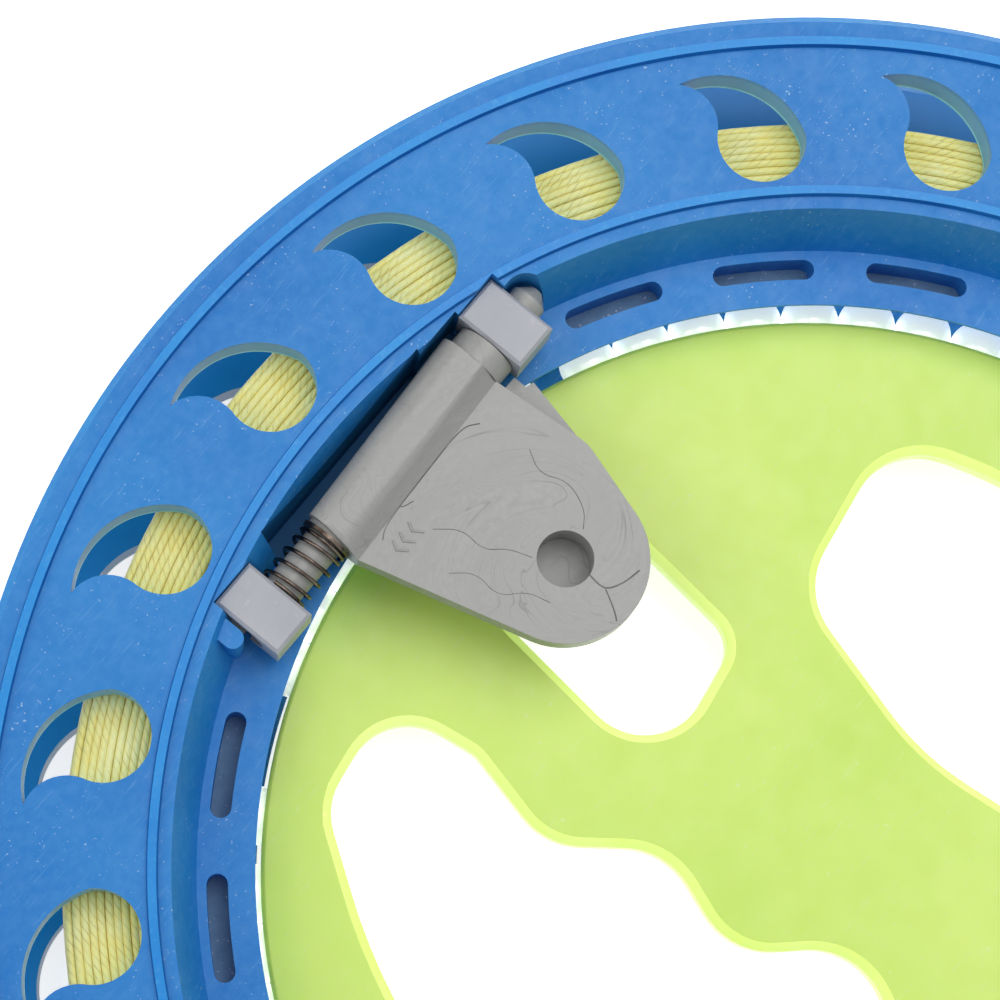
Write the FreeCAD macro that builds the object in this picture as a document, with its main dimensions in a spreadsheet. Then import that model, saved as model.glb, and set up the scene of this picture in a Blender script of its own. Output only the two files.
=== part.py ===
import FreeCAD, Part
import math
import os
import Sketcher

# Hand-held kite line reel, in millimetres. Z is the spin axis and points out of the front face,
# z = 0 is the plane of the back beads, X runs along the hinge pin of the folding handle and +Y
# points from the spin axis out through that hinge.

doc = FreeCAD.newDocument("kite_line_reel")
sheet = doc.addObject("Spreadsheet::Sheet", "dims")

SIZES = [
    # line ring: two moulded halves that clamp the ball race and form the line drum
    ("rim_radius", 90.0),
    ("flange_reach", 18.8),
    ("drum_radius", "=rim_radius - flange_reach"),
    ("rim_chamfer", 0.8),
    ("flange_thickness", 4.0),
    ("line_gap", 15.5),
    ("bead_height", 0.7),
    ("bead_foot", 1.4),
    ("bead_crest", 0.6),
    ("outer_bead_inset", 3.1),
    ("outer_bead_radius", "=rim_radius - outer_bead_inset"),
    ("inner_bead_inset", 0.8),
    ("inner_bead_radius", "=drum_radius - inner_bead_inset"),
    ("recess_depth", 8.3),
    ("drum_wall", 2.7),
    ("recess_top_radius", "=drum_radius - drum_wall"),
    ("recess_draft", 2.3),
    ("recess_foot_radius", "=recess_top_radius - recess_draft"),
    ("web_thickness", 2.4),
    ("bore_gap", 0.5),
    ("back_step", 0.5),
    ("back_step_inset", 3.6),
    ("back_step_radius", "=drum_radius - back_step_inset"),
    ("back_lip_thickness", 1.6),
    # comma shaped windows in both flanges
    ("window_count", 24),
    ("window_head", 4.75),
    ("window_wall", 0.45),
    ("window_radius", "=drum_radius + window_wall + window_head"),
    ("window_reach", 8.14),
    ("window_rise", 6.65),
    ("window_crown", 3.4),
    ("window_hollow", 1.3),
    ("window_turn", 17.0),
    ("window_head_sides", 8),
    ("window_crown_sides", 5),
    ("window_hollow_sides", 3),
    # blind coring slots in the recess floor, with some places left out beside the hinge
    ("core_inset", 2.1),
    ("core_radius", "=recess_foot_radius - core_inset"),
    ("core_length", 11.1),
    ("core_width", 2.2),
    ("core_depth", 4.0),
    ("cores_left_out", 3),
    # ball race
    ("ball_radius", 3.175),
    ("race_inset", 10.45),
    ("ball_pitch_radius", "=drum_radius - race_inset"),
    ("ball_count", "=floor(pi * ball_pitch_radius / ball_radius)"),
    ("ball_height", 6.5),
    ("race_clearance", 0.12),
    ("race_shoulder_gap", 1.45),
    ("race_edge_gap", 1.05),
    # hub disc
    ("disc_top", 10.5),
    ("disc_chamfer", 0.4),
    ("plate_thickness", 4.0),
    ("disc_rim_height", 7.65),
    ("disc_rim_width", 5.7),
    ("hub_turn", -81.2),
    ("grip_edge", 0.9),
    ("finger_rim_gap", 1.24),
    ("palm_rim_gap", 5.41),
    ("thumb_rim_gap", 5.39),
    # opening for four fingers, scalloped along the grip
    ("finger_edge", 8.4),
    ("finger_pitch", 22.5),
    ("finger_first_ridge", -27.0),
    ("finger_ridge", 12.9),
    ("finger_notch", 5.3),
    ("finger_fade", 1.4),
    ("finger_round", 8.0),
    ("finger_arc_radius", 62.1),
    ("finger_side", 13.0),
    ("finger_half_width", "=finger_arc_radius - finger_side"),
    ("finger_arc_centre", 18.2),
    ("finger_top_corner", 6.5),
    ("finger_low_corner", 7.0),
    # opening for the palm
    ("palm_left", -16.8),
    ("palm_edge", 14.6),
    ("palm_knee_along", 3.0),
    ("palm_knee_rise", 1.4),
    ("palm_shoulder", 24.8),
    ("palm_arc_radius", 50.0),
    ("palm_side", 8.0),
    ("palm_right", "=palm_arc_radius - palm_side"),
    ("palm_arc_drop", 3.2),
    ("palm_corner", 8.0),
    ("palm_end_corner", 6.5),
    ("palm_knee_round", 30.0),
    # opening for the thumb
    ("thumb_right", -20.3),
    ("thumb_left", -46.5),
    ("thumb_low", -0.4),
    ("thumb_high", 16.4),
    ("thumb_slope", 0.26),
    ("thumb_corner", 7.0),
    ("thumb_top_corner", 4.0),
    # wound line
    ("winding_depth", 8.1),
    ("winding_crown", 0.8),
    ("winding_side_gap", 0.1),
    # hinge blocks on the recess floor
    ("pin_height", 20.3),
    ("block_length", 5.4),
    ("block_width", 8.3),
    ("cap_rise", 3.3),
    ("cap_height", 5.4),
    ("stem_inset", 0.7),
    ("lower_block", 18.1),
    ("upper_block", 21.1),
    ("corner_wall", 0.645),
    ("corner_radius", "=drum_radius - corner_wall"),
    ("corner_along", "=upper_block + block_length / 2"),
    ("pin_offset", "=sqrt(corner_radius ^ 2 - corner_along ^ 2) - block_width / 2"),
    ("socket_depth", 1.8),
    ("seat_gap", 0.1),
    ("block_chamfer", 0.35),
    # clearance in the recess wall behind the handle
    ("pocket_start_gap", 5.0),
    ("pocket_end_gap", 3.2),
    ("pocket_gap", 0.6),
    ("pocket_sink", 3.4),
    ("pocket_inset", 1.4),
    ("relief_step", 0.5),
    ("notch_gap", 0.45),
    ("lug_width", 2.2),
    ("lug_gap", 0.4),
    ("lug_nose", 0.6),
    ("lug_top_gap", 1.6),
    # folding handle, measured from the pin
    ("trunnion_radius", 2.05),
    ("trunnion_gap", 0.08),
    ("stub_length", 2.8),
    ("stub_chamfer", 1.3),
    ("slide_travel", 3.0),
    ("lower_trunnion_margin", 0.4),
    ("neck_radius", 3.4),
    ("neck_length", 2.3),
    ("neck_gap", 0.15),
    ("spine_left", -7.3),
    ("spine_left_reach", 2.9),
    ("spine_right_reach", 4.1),
    ("spine_rise", 3.3),
    ("spine_drop", 3.0),
    ("spine_heel_reach", 4.0),
    ("spine_edge", 2.4),
    ("spine_slope", 1.9),
    ("spine_under_slope", 1.0),
    ("plate_heel", -7.8),
    ("plate_rise", 1.3),
    ("plate_drop", 1.9),
    ("plate_crease", 15.8),
    ("plate_root_reach", 1.0),
    ("plate_root_step", 1.0),
    ("plate_root_round", 0.6),
    ("plate_shoulder", 17.0),
    ("plate_shoulder_reach", 14.5),
    ("plate_shoulder_round", 5.0),
    ("ledge_rise", -1.1),
    ("ledge_corner", 19.0),
    ("ledge_overlap", 3.0),
    ("ledge_end", 1.5),
    ("ledge_end_inset", 0.2),
    ("ledge_side_gap", 0.3),
    ("tip_along", 6.0),
    ("tip_reach", 20.4),
    ("tip_radius", 8.85),
    ("tip_boss_radius", 4.6),
    ("tip_boss_depth", 3.0),
    ("tip_bore_radius", 3.0),
    ("tip_bore_depth", 5.0),
    # return spring and its washer on the lower trunnion
    ("collar_radius", 2.6),
    ("collar_end", -7.85),
    ("washer_radius", 2.9),
    ("washer_thickness", 0.4),
    ("washer_gap", 0.05),
    ("spring_radius", 2.6),
    ("spring_wire", 0.5),
    ("spring_turns", 6.5),
    ("spring_sides", 14),
    ("spring_end_gap", 0.05),
]
for row, (alias, value) in enumerate(SIZES, start=1):
    sheet.set("A%d" % row, alias)
    sheet.set("B%d" % row, str(value))
    sheet.setAlias("B%d" % row, alias)
doc.recompute()

# Two places nearer than this are taken as one, in millimetres
TOUCHING = 0.001

# Where the hinge lies round the spin axis, in degrees from the X axis
HINGE_TURN = 90


def size(alias):
    return float(sheet.get(alias))


# Heights and radii that follow from the driving sizes, as expression text
BACK_FACE = "dims.bead_height"
BACK_STEP = "(dims.bead_height + dims.back_step)"
BACK_INSIDE = "(dims.bead_height + dims.flange_thickness)"
FRONT_INSIDE = "(dims.bead_height + dims.flange_thickness + dims.line_gap)"
FRONT_FACE = "(dims.bead_height + 2 * dims.flange_thickness + dims.line_gap)"
FRONT_CREST = "(2 * dims.bead_height + 2 * dims.flange_thickness + dims.line_gap)"
RECESS_FLOOR = "(%s - dims.recess_depth)" % FRONT_FACE
RACE = "(dims.ball_radius + dims.race_clearance)"
SHOULDER = "(dims.ball_pitch_radius + dims.race_shoulder_gap)"
DISC_EDGE = "(dims.ball_pitch_radius - dims.race_edge_gap)"
BORE = "(%s + dims.bore_gap)" % DISC_EDGE
PLATE_RADIUS = "(%s - dims.disc_rim_width)" % DISC_EDGE
TRUNNION_BORE = "(dims.trunnion_radius + dims.trunnion_gap)"
LOWER_BLOCK_OUTSIDE = "(-dims.lower_block - dims.block_length / 2)"
LOWER_BLOCK_INSIDE = "(-dims.lower_block + dims.block_length / 2)"
UPPER_BLOCK_INSIDE = "(dims.upper_block - dims.block_length / 2)"
UPPER_BLOCK_OUTSIDE = "(dims.upper_block + dims.block_length / 2)"
LOWER_END = "(%s + dims.slide_travel + dims.lower_trunnion_margin)" % LOWER_BLOCK_OUTSIDE
NECK_END = "(%s - dims.neck_gap)" % UPPER_BLOCK_INSIDE
SPINE_RIGHT = "(%s - dims.neck_length)" % NECK_END
UPPER_END = "(%s + dims.stub_length)" % UPPER_BLOCK_OUTSIDE
WASHER_LEFT = "(dims.collar_end - dims.washer_gap - dims.washer_thickness)"


def value_of(text):
    """The number that an expression over the sheet stands for."""
    found = sheet.evalExpression(text)
    return float(getattr(found, "Value", found))


def new_body(label):
    body = doc.addObject("PartDesign::Body", label)
    body.Label = label
    return body


def place_on_pin(item):
    """Set an item's origin on the hinge pin's axis."""
    item.setExpression("Placement.Base.y", "dims.pin_offset")
    item.setExpression("Placement.Base.z", "dims.pin_height")
    doc.recompute()


def pin_body(label):
    """A body whose origin lies on the hinge pin's axis."""
    body = new_body(label)
    place_on_pin(body)
    return body


def new_sketch(body, label, role, height=None):
    sketch = body.newObject("Sketcher::SketchObject", label)
    plane = next(plane for plane in body.Origin.OriginFeatures if plane.Role == role)
    sketch.AttachmentSupport = [(plane, "")]
    sketch.MapMode = "FlatFace"
    if height is not None:
        sketch.setExpression("AttachmentOffset.Base.z", height)
    return sketch


def bind(sketch, kind, places, number, text):
    """Add a dimension to a sketch and tie it to the sheet."""
    index = sketch.addConstraint(Sketcher.Constraint(kind, *places, number))
    sketch.setExpression("Constraints[%d]" % index, text)


def outline_sketch(body, label, role, corners, height=None):
    """A closed polygon; each corner is two expressions over the sheet."""
    sketch = new_sketch(body, label, role, height)
    points = [FreeCAD.Vector(value_of(x), value_of(y), 0) for x, y in corners]
    for start, end in zip(points, points[1:] + points[:1]):
        sketch.addGeometry(Part.LineSegment(start, end), False)
    for index, (x, y) in enumerate(corners):
        before = (index - 1) % len(corners)
        sketch.addConstraint(Sketcher.Constraint("Coincident", before, 2, index, 1))
        bind(sketch, "DistanceX", (-1, 1, index, 1), points[index].x, x)
        bind(sketch, "DistanceY", (-1, 1, index, 1), points[index].y, y)
    return sketch


def circle_sketch(body, label, role, circles, height=None):
    """Circles, each given as centre x, centre y and radius in expressions over the sheet."""
    sketch = new_sketch(body, label, role, height)
    for index, (x, y, radius) in enumerate(circles):
        centre = FreeCAD.Vector(value_of(x), value_of(y), 0)
        sketch.addGeometry(Part.Circle(centre, FreeCAD.Vector(0, 0, 1), value_of(radius)), False)
        bind(sketch, "DistanceX", (-1, 1, index, 3), centre.x, x)
        bind(sketch, "DistanceY", (-1, 1, index, 3), centre.y, y)
        bind(sketch, "Radius", (index,), value_of(radius), radius)
    return sketch


def curve_sketch(body, label, pieces, height=None):
    """A closed outline of lines (two points) and arcs (three points), joined end to end."""
    sketch = new_sketch(body, label, "XY_Plane", height)
    for points in pieces:
        ends = [FreeCAD.Vector(x, y, 0) for x, y in points]
        curve = Part.Arc(*ends) if len(ends) == 3 else Part.LineSegment(*ends)
        sketch.addGeometry(curve, False)
    return sketch


def rounded(corners):
    """Lines and arcs of a closed outline with rounded corners, each (x, y, corner radius)."""
    touches = []
    for index, (x, y, radius) in enumerate(corners):
        here = FreeCAD.Vector(x, y, 0)
        back = FreeCAD.Vector(*corners[index - 1][:2], 0) - here
        ahead = FreeCAD.Vector(*corners[(index + 1) % len(corners)][:2], 0) - here
        back.normalize()
        ahead.normalize()
        half = back.getAngle(ahead) / 2
        bisector = (back + ahead).normalize()
        start = here + back * (radius / math.tan(half))
        end = here + ahead * (radius / math.tan(half))
        middle = here + bisector * (radius / math.sin(half) - radius)
        touches.append((start, middle, end))
    pieces = []
    for index, (start, middle, end) in enumerate(touches):
        last = touches[index - 1][2]
        if last.distanceToPoint(start) > TOUCHING:
            pieces.append(((last.x, last.y), (start.x, start.y)))
        pieces.append(((start.x, start.y), (middle.x, middle.y), (end.x, end.y)))
    return pieces


def box_corners(left, right, near, far):
    return [(left, near), (right, near), (right, far), (left, far)]


def revolve(body, label, corners):
    """Spin a profile of radius and height corners round the spin axis."""
    feature = body.newObject("PartDesign::Revolution", label)
    feature.Profile = outline_sketch(body, label + "_outline", "XZ_Plane", corners)
    feature.ReferenceAxis = (feature.Profile[0], ["V_Axis"])
    feature.Angle = 360
    return feature


def pad(body, label, sketch, length):
    feature = body.newObject("PartDesign::Pad", label)
    feature.Profile = sketch
    feature.setExpression("Length", length)
    return feature


def pocket(body, label, sketch, depth):
    """Cut downwards from the plane of the sketch."""
    feature = body.newObject("PartDesign::Pocket", label)
    feature.Profile = sketch
    feature.setExpression("Length", depth)
    return feature


def pattern_round(body, label, features, axis_sketch, count, angle="360"):
    """Repeat features round the spin axis."""
    pattern = body.newObject("PartDesign::PolarPattern", label)
    pattern.Originals = features
    pattern.Axis = (axis_sketch, ["N_Axis"])
    pattern.setExpression("Angle", angle)
    pattern.setExpression("Occurrences", count)
    body.Tip = pattern
    return pattern


def dress(body, kind, label, base, wanted, amount):
    """Fillet or chamfer the edges of a feature that a test picks."""
    doc.recompute()
    numbered = enumerate(base.Shape.Edges, start=1)
    edges = ["Edge%d" % number for number, edge in numbered if wanted(edge)]
    feature = body.newObject("PartDesign::" + kind, label)
    feature.Base = (base, edges)
    feature.setExpression("Radius" if kind == "Fillet" else "Size", amount)
    body.Tip = feature
    return feature


def bead(radius, foot, crest):
    """The four corners of a raised ring on a flange face, from the rim inwards."""
    return [
        ("%s + dims.bead_foot / 2" % radius, foot),
        ("%s + dims.bead_crest / 2" % radius, crest),
        ("%s - dims.bead_crest / 2" % radius, crest),
        ("%s - dims.bead_foot / 2" % radius, foot),
    ]


def race_half_depth(edge_gap):
    """Height from the ball plane at which a race wall stops being upright.

    The sloping wall above runs from there to the race's lip and touches the clearance circle.
    """
    return "(%s * (%s - %s) / (%s + %s))" % (RACE, RACE, edge_gap, RACE, edge_gap)


def bulged(start, end, bulge):
    """The middle of an arc that stands off its chord to the left by the bulge."""
    chord = math.hypot(end[0] - start[0], end[1] - start[1])
    across = (-(end[1] - start[1]) / chord, (end[0] - start[0]) / chord)
    return (
        (start[0] + end[0]) / 2 + across[0] * bulge,
        (start[1] + end[1]) / 2 + across[1] * bulge,
    )


def window_outline():
    """Comma shape: a round head below, with a tail that sweeps outwards and round.

    Each arc is drawn as a few straight sides, because there are so many windows.
    """
    head = size("window_head")
    tip = (size("window_reach"), size("window_rise"))
    back = (-head, 0.0)
    turn = math.radians(size("window_turn"))
    front = (head * math.cos(turn), head * math.sin(turn))
    arcs = [
        (back, bulged(back, tip, size("window_crown")), tip, size("window_crown_sides")),
        (tip, bulged(front, tip, size("window_hollow")), front, size("window_hollow_sides")),
        (front, (0.0, -head), back, size("window_head_sides")),
    ]
    corners = []
    for start, middle, end, sides in arcs:
        arc = Part.Arc(*[FreeCAD.Vector(x, y, 0) for x, y in (start, middle, end)])
        corners += arc.discretize(int(sides) + 1)[:-1]
    points = [(-corner.x, corner.y + size("window_radius")) for corner in corners]
    return list(zip(points, points[1:] + points[:1]))


def cut_windows(body, top):
    sketch = curve_sketch(body, "window_outline", window_outline(), top)
    window = pocket(body, "window", sketch, "dims.flange_thickness")
    pattern_round(body, "windows", [window], sketch, "dims.window_count")


def core_outline(turn):
    """A slot bent round the spin axis, centred at an angle in degrees."""
    middle = math.radians(turn)
    half_angle = size("core_length") / 2 / size("core_radius")
    first = middle - half_angle
    last = middle + half_angle
    outer = size("core_radius") + size("core_width") / 2
    inner = size("core_radius") - size("core_width") / 2

    def at(distance, angle):
        return (distance * math.cos(angle), distance * math.sin(angle))

    return [
        (at(outer, first), at(outer, middle), at(outer, last)),
        (at(outer, last), at(inner, last)),
        (at(inner, last), at(inner, middle), at(inner, first)),
        (at(inner, first), at(outer, first)),
    ]


def cut_cores(body):
    first = HINGE_TURN + (size("cores_left_out") + 1) / 2 * 360 / size("window_count")
    sketch = curve_sketch(body, "core_outline", core_outline(first), RECESS_FLOOR)
    core = pocket(body, "core", sketch, "dims.core_depth")
    pattern_round(body, "cores", [core], sketch, "dims.window_count - dims.cores_left_out",
                  "360 - (dims.cores_left_out + 1) * 360 / dims.window_count")


def front_flange():
    body = new_body("front_flange")
    upright = race_half_depth("dims.race_shoulder_gap")
    revolve(body, "section", [
        ("dims.drum_radius", "dims.ball_height"),
        ("dims.drum_radius", FRONT_INSIDE),
        ("dims.rim_radius - dims.rim_chamfer", FRONT_INSIDE),
        ("dims.rim_radius", FRONT_INSIDE + " + dims.rim_chamfer"),
        ("dims.rim_radius", FRONT_FACE + " - dims.rim_chamfer"),
        ("dims.rim_radius - dims.rim_chamfer", FRONT_FACE),
        *bead("dims.outer_bead_radius", FRONT_FACE, FRONT_CREST),
        *bead("dims.inner_bead_radius", FRONT_FACE, FRONT_CREST),
        ("dims.recess_top_radius", FRONT_FACE),
        ("dims.recess_foot_radius", RECESS_FLOOR),
        (BORE, RECESS_FLOOR),
        (BORE, RECESS_FLOOR + " - dims.web_thickness"),
        (SHOULDER, RECESS_FLOOR + " - dims.web_thickness"),
        (SHOULDER, "dims.ball_height + " + RACE),
        ("dims.ball_pitch_radius + " + RACE, "dims.ball_height + " + upright),
        ("dims.ball_pitch_radius + " + RACE, "dims.ball_height"),
    ])
    cut_windows(body, FRONT_FACE)
    cut_cores(body)
    cut_hinge_pocket(body)
    for name, centre in (("lower", "-dims.lower_block"), ("upper", "dims.upper_block")):
        cut_block_seat(body, name, centre)
    cut_stub_notch(body)
    add_lug(body)
    return body


def wall_cut(body, label, left, right, near, reach, depth):
    """Cut from the front face, between two places along the pin, out to a reach past the pin."""
    corners = box_corners(left, right, near, "dims.pin_offset + " + reach)
    sketch = outline_sketch(body, label + "_outline", "XY_Plane", corners, FRONT_FACE)
    return pocket(body, label, sketch, depth)


def cut_hinge_pocket(body):
    """Room for the spine of the handle to slide and to swing through the recess wall."""
    swing = "(dims.spine_right_reach + dims.pocket_gap)"
    near = "(%s + dims.pocket_inset)" % SHOULDER
    pocket_end = "(%s - dims.pocket_end_gap)" % SPINE_RIGHT
    wall_cut(body, "hinge_pocket", "dims.spine_left - dims.pocket_start_gap", pocket_end, near,
             swing + " + dims.relief_step", "dims.recess_depth + dims.pocket_sink")
    wall_cut(body, "hinge_relief", pocket_end + " - dims.relief_step", UPPER_BLOCK_INSIDE, near,
             swing, "dims.recess_depth + dims.relief_step")


def cut_block_seat(body, name, centre):
    """A hinge block stands in a square seat in the recess wall, with its stem in a socket in the floor."""
    half_length = "(dims.block_length / 2 + dims.seat_gap)"
    reach = "(dims.block_width / 2 + dims.seat_gap)"
    wall_cut(body, name + "_seat", "%s - %s" % (centre, half_length), "%s + %s" % (centre, half_length),
             "dims.pin_offset - " + reach, reach, "dims.recess_depth")
    half_length = "(dims.block_length / 2 - dims.stem_inset + dims.seat_gap)"
    half_width = "(dims.block_width / 2 - dims.stem_inset + dims.seat_gap)"
    corners = box_corners("%s - %s" % (centre, half_length), "%s + %s" % (centre, half_length),
                          "dims.pin_offset - " + half_width, "dims.pin_offset + " + half_width)
    sketch = outline_sketch(body, name + "_socket_outline", "XY_Plane", corners, RECESS_FLOOR)
    pocket(body, name + "_socket", sketch, "dims.socket_depth")


def cut_stub_notch(body):
    """Round ended notch in the recess wall for the free end of the upper trunnion."""
    radius = size("trunnion_radius") + size("notch_gap")
    end = value_of(UPPER_END) + size("notch_gap")
    middle = size("pin_offset")
    start = size("upper_block")
    top = (end - radius, middle + radius)
    low = (end - radius, middle - radius)
    pieces = [
        ((start, middle - radius), low),
        (low, (end, middle), top),
        (top, (start, middle + radius)),
        ((start, middle + radius), (start, middle - radius)),
    ]
    sketch = curve_sketch(body, "stub_notch_outline", pieces, FRONT_FACE)
    pocket(body, "stub_notch", sketch,
           "%s - dims.pin_height + dims.trunnion_radius + dims.notch_gap" % FRONT_FACE)


def add_lug(body):
    """A round nosed rib on the recess wall beside the lower hinge block."""
    right = -size("lower_block") - size("block_length") / 2 - size("lug_gap")
    left = right - size("lug_width")
    middle = (left + right) / 2
    nose = size("pin_offset") - size("lug_nose")
    shoulder = nose + size("lug_width") / 2
    wall = math.sqrt(size("recess_top_radius") ** 2 - middle ** 2)
    pieces = [
        ((right, wall), (left, wall)),
        ((left, wall), (left, shoulder)),
        ((left, shoulder), (middle, nose), (right, shoulder)),
        ((right, shoulder), (right, wall)),
    ]
    sketch = curve_sketch(body, "lug_outline", pieces, RECESS_FLOOR)
    pad(body, "lug", sketch, "dims.recess_depth - dims.lug_top_gap")


def back_flange():
    body = new_body("back_flange")
    upright = race_half_depth("dims.race_shoulder_gap")
    lip_top = "(%s + dims.back_lip_thickness)" % BACK_STEP
    revolve(body, "section", [
        ("dims.drum_radius", "dims.ball_height"),
        ("dims.ball_pitch_radius + " + RACE, "dims.ball_height"),
        ("dims.ball_pitch_radius + " + RACE, "dims.ball_height - " + upright),
        (SHOULDER, "dims.ball_height - " + RACE),
        (SHOULDER, lip_top),
        (BORE, lip_top),
        (BORE, BACK_STEP),
        ("dims.back_step_radius", BACK_STEP),
        ("dims.back_step_radius + dims.back_step", BACK_FACE),
        *bead("dims.inner_bead_radius", BACK_FACE, "0")[::-1],
        *bead("dims.outer_bead_radius", BACK_FACE, "0")[::-1],
        ("dims.rim_radius - dims.rim_chamfer", BACK_FACE),
        ("dims.rim_radius", BACK_FACE + " + dims.rim_chamfer"),
        ("dims.rim_radius", BACK_INSIDE + " - dims.rim_chamfer"),
        ("dims.rim_radius - dims.rim_chamfer", BACK_INSIDE),
        ("dims.drum_radius", BACK_INSIDE),
    ])
    cut_windows(body, BACK_INSIDE)
    return body


def line_winding():
    """The line wound on the drum, as one coil that is a little fuller in the middle."""
    body = new_body("line_winding")
    face = "(dims.drum_radius + dims.winding_depth)"
    crown = "(%s + dims.winding_crown)" % face
    low = "(%s + dims.winding_side_gap)" % BACK_INSIDE
    high = "(%s - dims.winding_side_gap)" % FRONT_INSIDE
    revolve(body, "section", [
        ("dims.drum_radius", low),
        (face, low),
        (crown, "%s + dims.line_gap / 4" % low),
        (crown, "%s - dims.line_gap / 4" % high),
        (face, high),
        ("dims.drum_radius", high),
    ])
    return body


def arc_side(left, left_corner, right, right_corner, radius, centre):
    """Corners, from right to left, of an outline side that follows an arc between two uprights."""
    right_turn = math.acos((right - right_corner) / radius)
    left_turn = math.acos((left + left_corner) / radius)

    def on_tangent(x, turn):
        return centre + (radius - x * math.cos(turn)) / math.sin(turn)

    middle_turn = (left_turn + right_turn) / 2
    peak = radius / math.cos((left_turn - right_turn) / 2)
    return [
        (right, on_tangent(right, right_turn), right_corner),
        (peak * math.cos(middle_turn), centre + peak * math.sin(middle_turn), radius),
        (left, on_tangent(left, left_turn), left_corner),
    ]


def finger_opening():
    """Rounded outline with scallops between the fingers and a long outer arc."""
    half = size("finger_half_width")
    edge = -size("finger_edge")
    corner = size("finger_top_corner")
    round_off = size("finger_round")
    step = size("finger_pitch") / 2
    deepest = size("finger_first_ridge") + 3 * step
    scallops = []
    for index in range(6):
        x = size("finger_first_ridge") + index * step
        fade = size("finger_fade") * abs(x - deepest) / size("finger_pitch")
        y = -size("finger_notch") - fade if index % 2 else -size("finger_ridge")
        scallops.append((x, y, round_off))
    outer = arc_side(-half, size("finger_low_corner"), half, size("finger_low_corner"),
                     size("finger_arc_radius"), -size("finger_arc_centre"))
    return [
        (-half, edge, corner),
        (size("finger_first_ridge") - step, edge, round_off / 2),
        *scallops[:-1],
        (scallops[-1][0], edge, round_off / 2),
        (half, edge, corner),
        *[(x, -y, radius) for x, y, radius in outer],
    ]


def palm_opening():
    """Rounded outline: a nearly straight grip edge, a sloping shoulder and an outer arc."""
    left = size("palm_left")
    right = size("palm_right")
    edge = size("palm_edge")
    corner = size("palm_corner")
    end_corner = size("palm_end_corner")
    return [
        (left, size("palm_shoulder"), corner),
        (size("palm_knee_along"), edge + size("palm_knee_rise"), size("palm_knee_round")),
        (right, edge, end_corner),
        *arc_side(left, corner, right, end_corner, size("palm_arc_radius"), -size("palm_arc_drop")),
    ]


def thumb_opening():
    left = size("thumb_left")
    right = size("thumb_right")
    rise = (right - left) * size("thumb_slope")
    return [
        (right, size("thumb_low"), size("thumb_corner")),
        (right, size("thumb_high"), size("thumb_top_corner")),
        (left, size("thumb_high") + rise, size("thumb_corner")),
        (left, size("thumb_low") + rise, size("thumb_corner")),
    ]


def fitted(corners, gap):
    """The rounded outline, sized so that its farthest place keeps a gap to the disc's rim."""
    pieces = rounded(corners)
    farthest = max(math.hypot(x, y) for points in pieces for x, y in points)
    scale = (value_of(PLATE_RADIUS) - gap) / farthest
    return [tuple((x * scale, y * scale) for x, y in points) for points in pieces]


def hub_disc():
    """Disc with the inner race in a deeper rim and three grip openings."""
    body = new_body("hub_disc")
    body.Placement = FreeCAD.Placement(
        FreeCAD.Vector(), FreeCAD.Rotation(FreeCAD.Vector(0, 0, 1), size("hub_turn")))
    underside = "(dims.disc_top - dims.plate_thickness)"
    rim_foot = "(dims.disc_top - dims.disc_rim_height)"
    upright = race_half_depth("dims.race_edge_gap")
    revolve(body, "section", [
        ("0", "dims.disc_top"),
        ("%s - dims.disc_chamfer" % DISC_EDGE, "dims.disc_top"),
        (DISC_EDGE, "dims.disc_top - dims.disc_chamfer"),
        (DISC_EDGE, "dims.ball_height + " + RACE),
        ("dims.ball_pitch_radius - " + RACE, "dims.ball_height + " + upright),
        ("dims.ball_pitch_radius - " + RACE, "dims.ball_height - " + upright),
        (DISC_EDGE, "dims.ball_height - " + RACE),
        (DISC_EDGE, rim_foot),
        (PLATE_RADIUS, rim_foot),
        (PLATE_RADIUS, underside),
        ("0", underside),
    ])
    openings = {"finger": finger_opening(), "palm": palm_opening(), "thumb": thumb_opening()}
    for name, corners in openings.items():
        pieces = fitted(corners, size(name + "_rim_gap"))
        sketch = curve_sketch(body, name + "_outline", pieces, "dims.disc_top")
        last = pocket(body, name + "_opening", sketch, "dims.plate_thickness")

    def on_grip(edge):
        box = edge.BoundBox
        level = min(abs(box.ZMax - size("disc_top")), abs(box.ZMax - value_of(underside)))
        place = edge.valueAt(edge.FirstParameter)
        inside = math.hypot(place.x, place.y) < value_of(PLATE_RADIUS) - TOUCHING
        return box.ZLength < TOUCHING and level < TOUCHING and inside

    dress(body, "Chamfer", "grip_edges", last, on_grip, "dims.grip_edge")
    return body


def facet_solid(faces):
    """A closed solid of flat facets, each a list of corners."""
    shell = Part.makeShell([Part.Face(Part.makePolygon(points + points[:1])) for points in faces])
    return Part.makeSolid(shell)


def faceted_ball(centre, radius):
    """A ball as twenty flat facets between two poles and two rings of five corners."""
    ring_height = radius / math.sqrt(5)
    ring_radius = 2 * ring_height
    top = centre + FreeCAD.Vector(0, 0, radius)
    bottom = centre - FreeCAD.Vector(0, 0, radius)
    upper = []
    lower = []
    for corner in range(5):
        turn = 2 * math.pi * corner / 5
        reach = FreeCAD.Vector(math.cos(turn), math.sin(turn), 0) * ring_radius
        upper.append(centre + reach + FreeCAD.Vector(0, 0, ring_height))
        lower.append(centre - reach - FreeCAD.Vector(0, 0, ring_height))
    lower = lower[3:] + lower[:3]
    faces = []
    for corner in range(5):
        after = (corner + 1) % 5
        faces.append([top, upper[corner], upper[after]])
        faces.append([upper[corner], lower[corner], upper[after]])
        faces.append([upper[after], lower[corner], lower[after]])
        faces.append([bottom, lower[after], lower[corner]])
    return facet_solid(faces)


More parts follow.
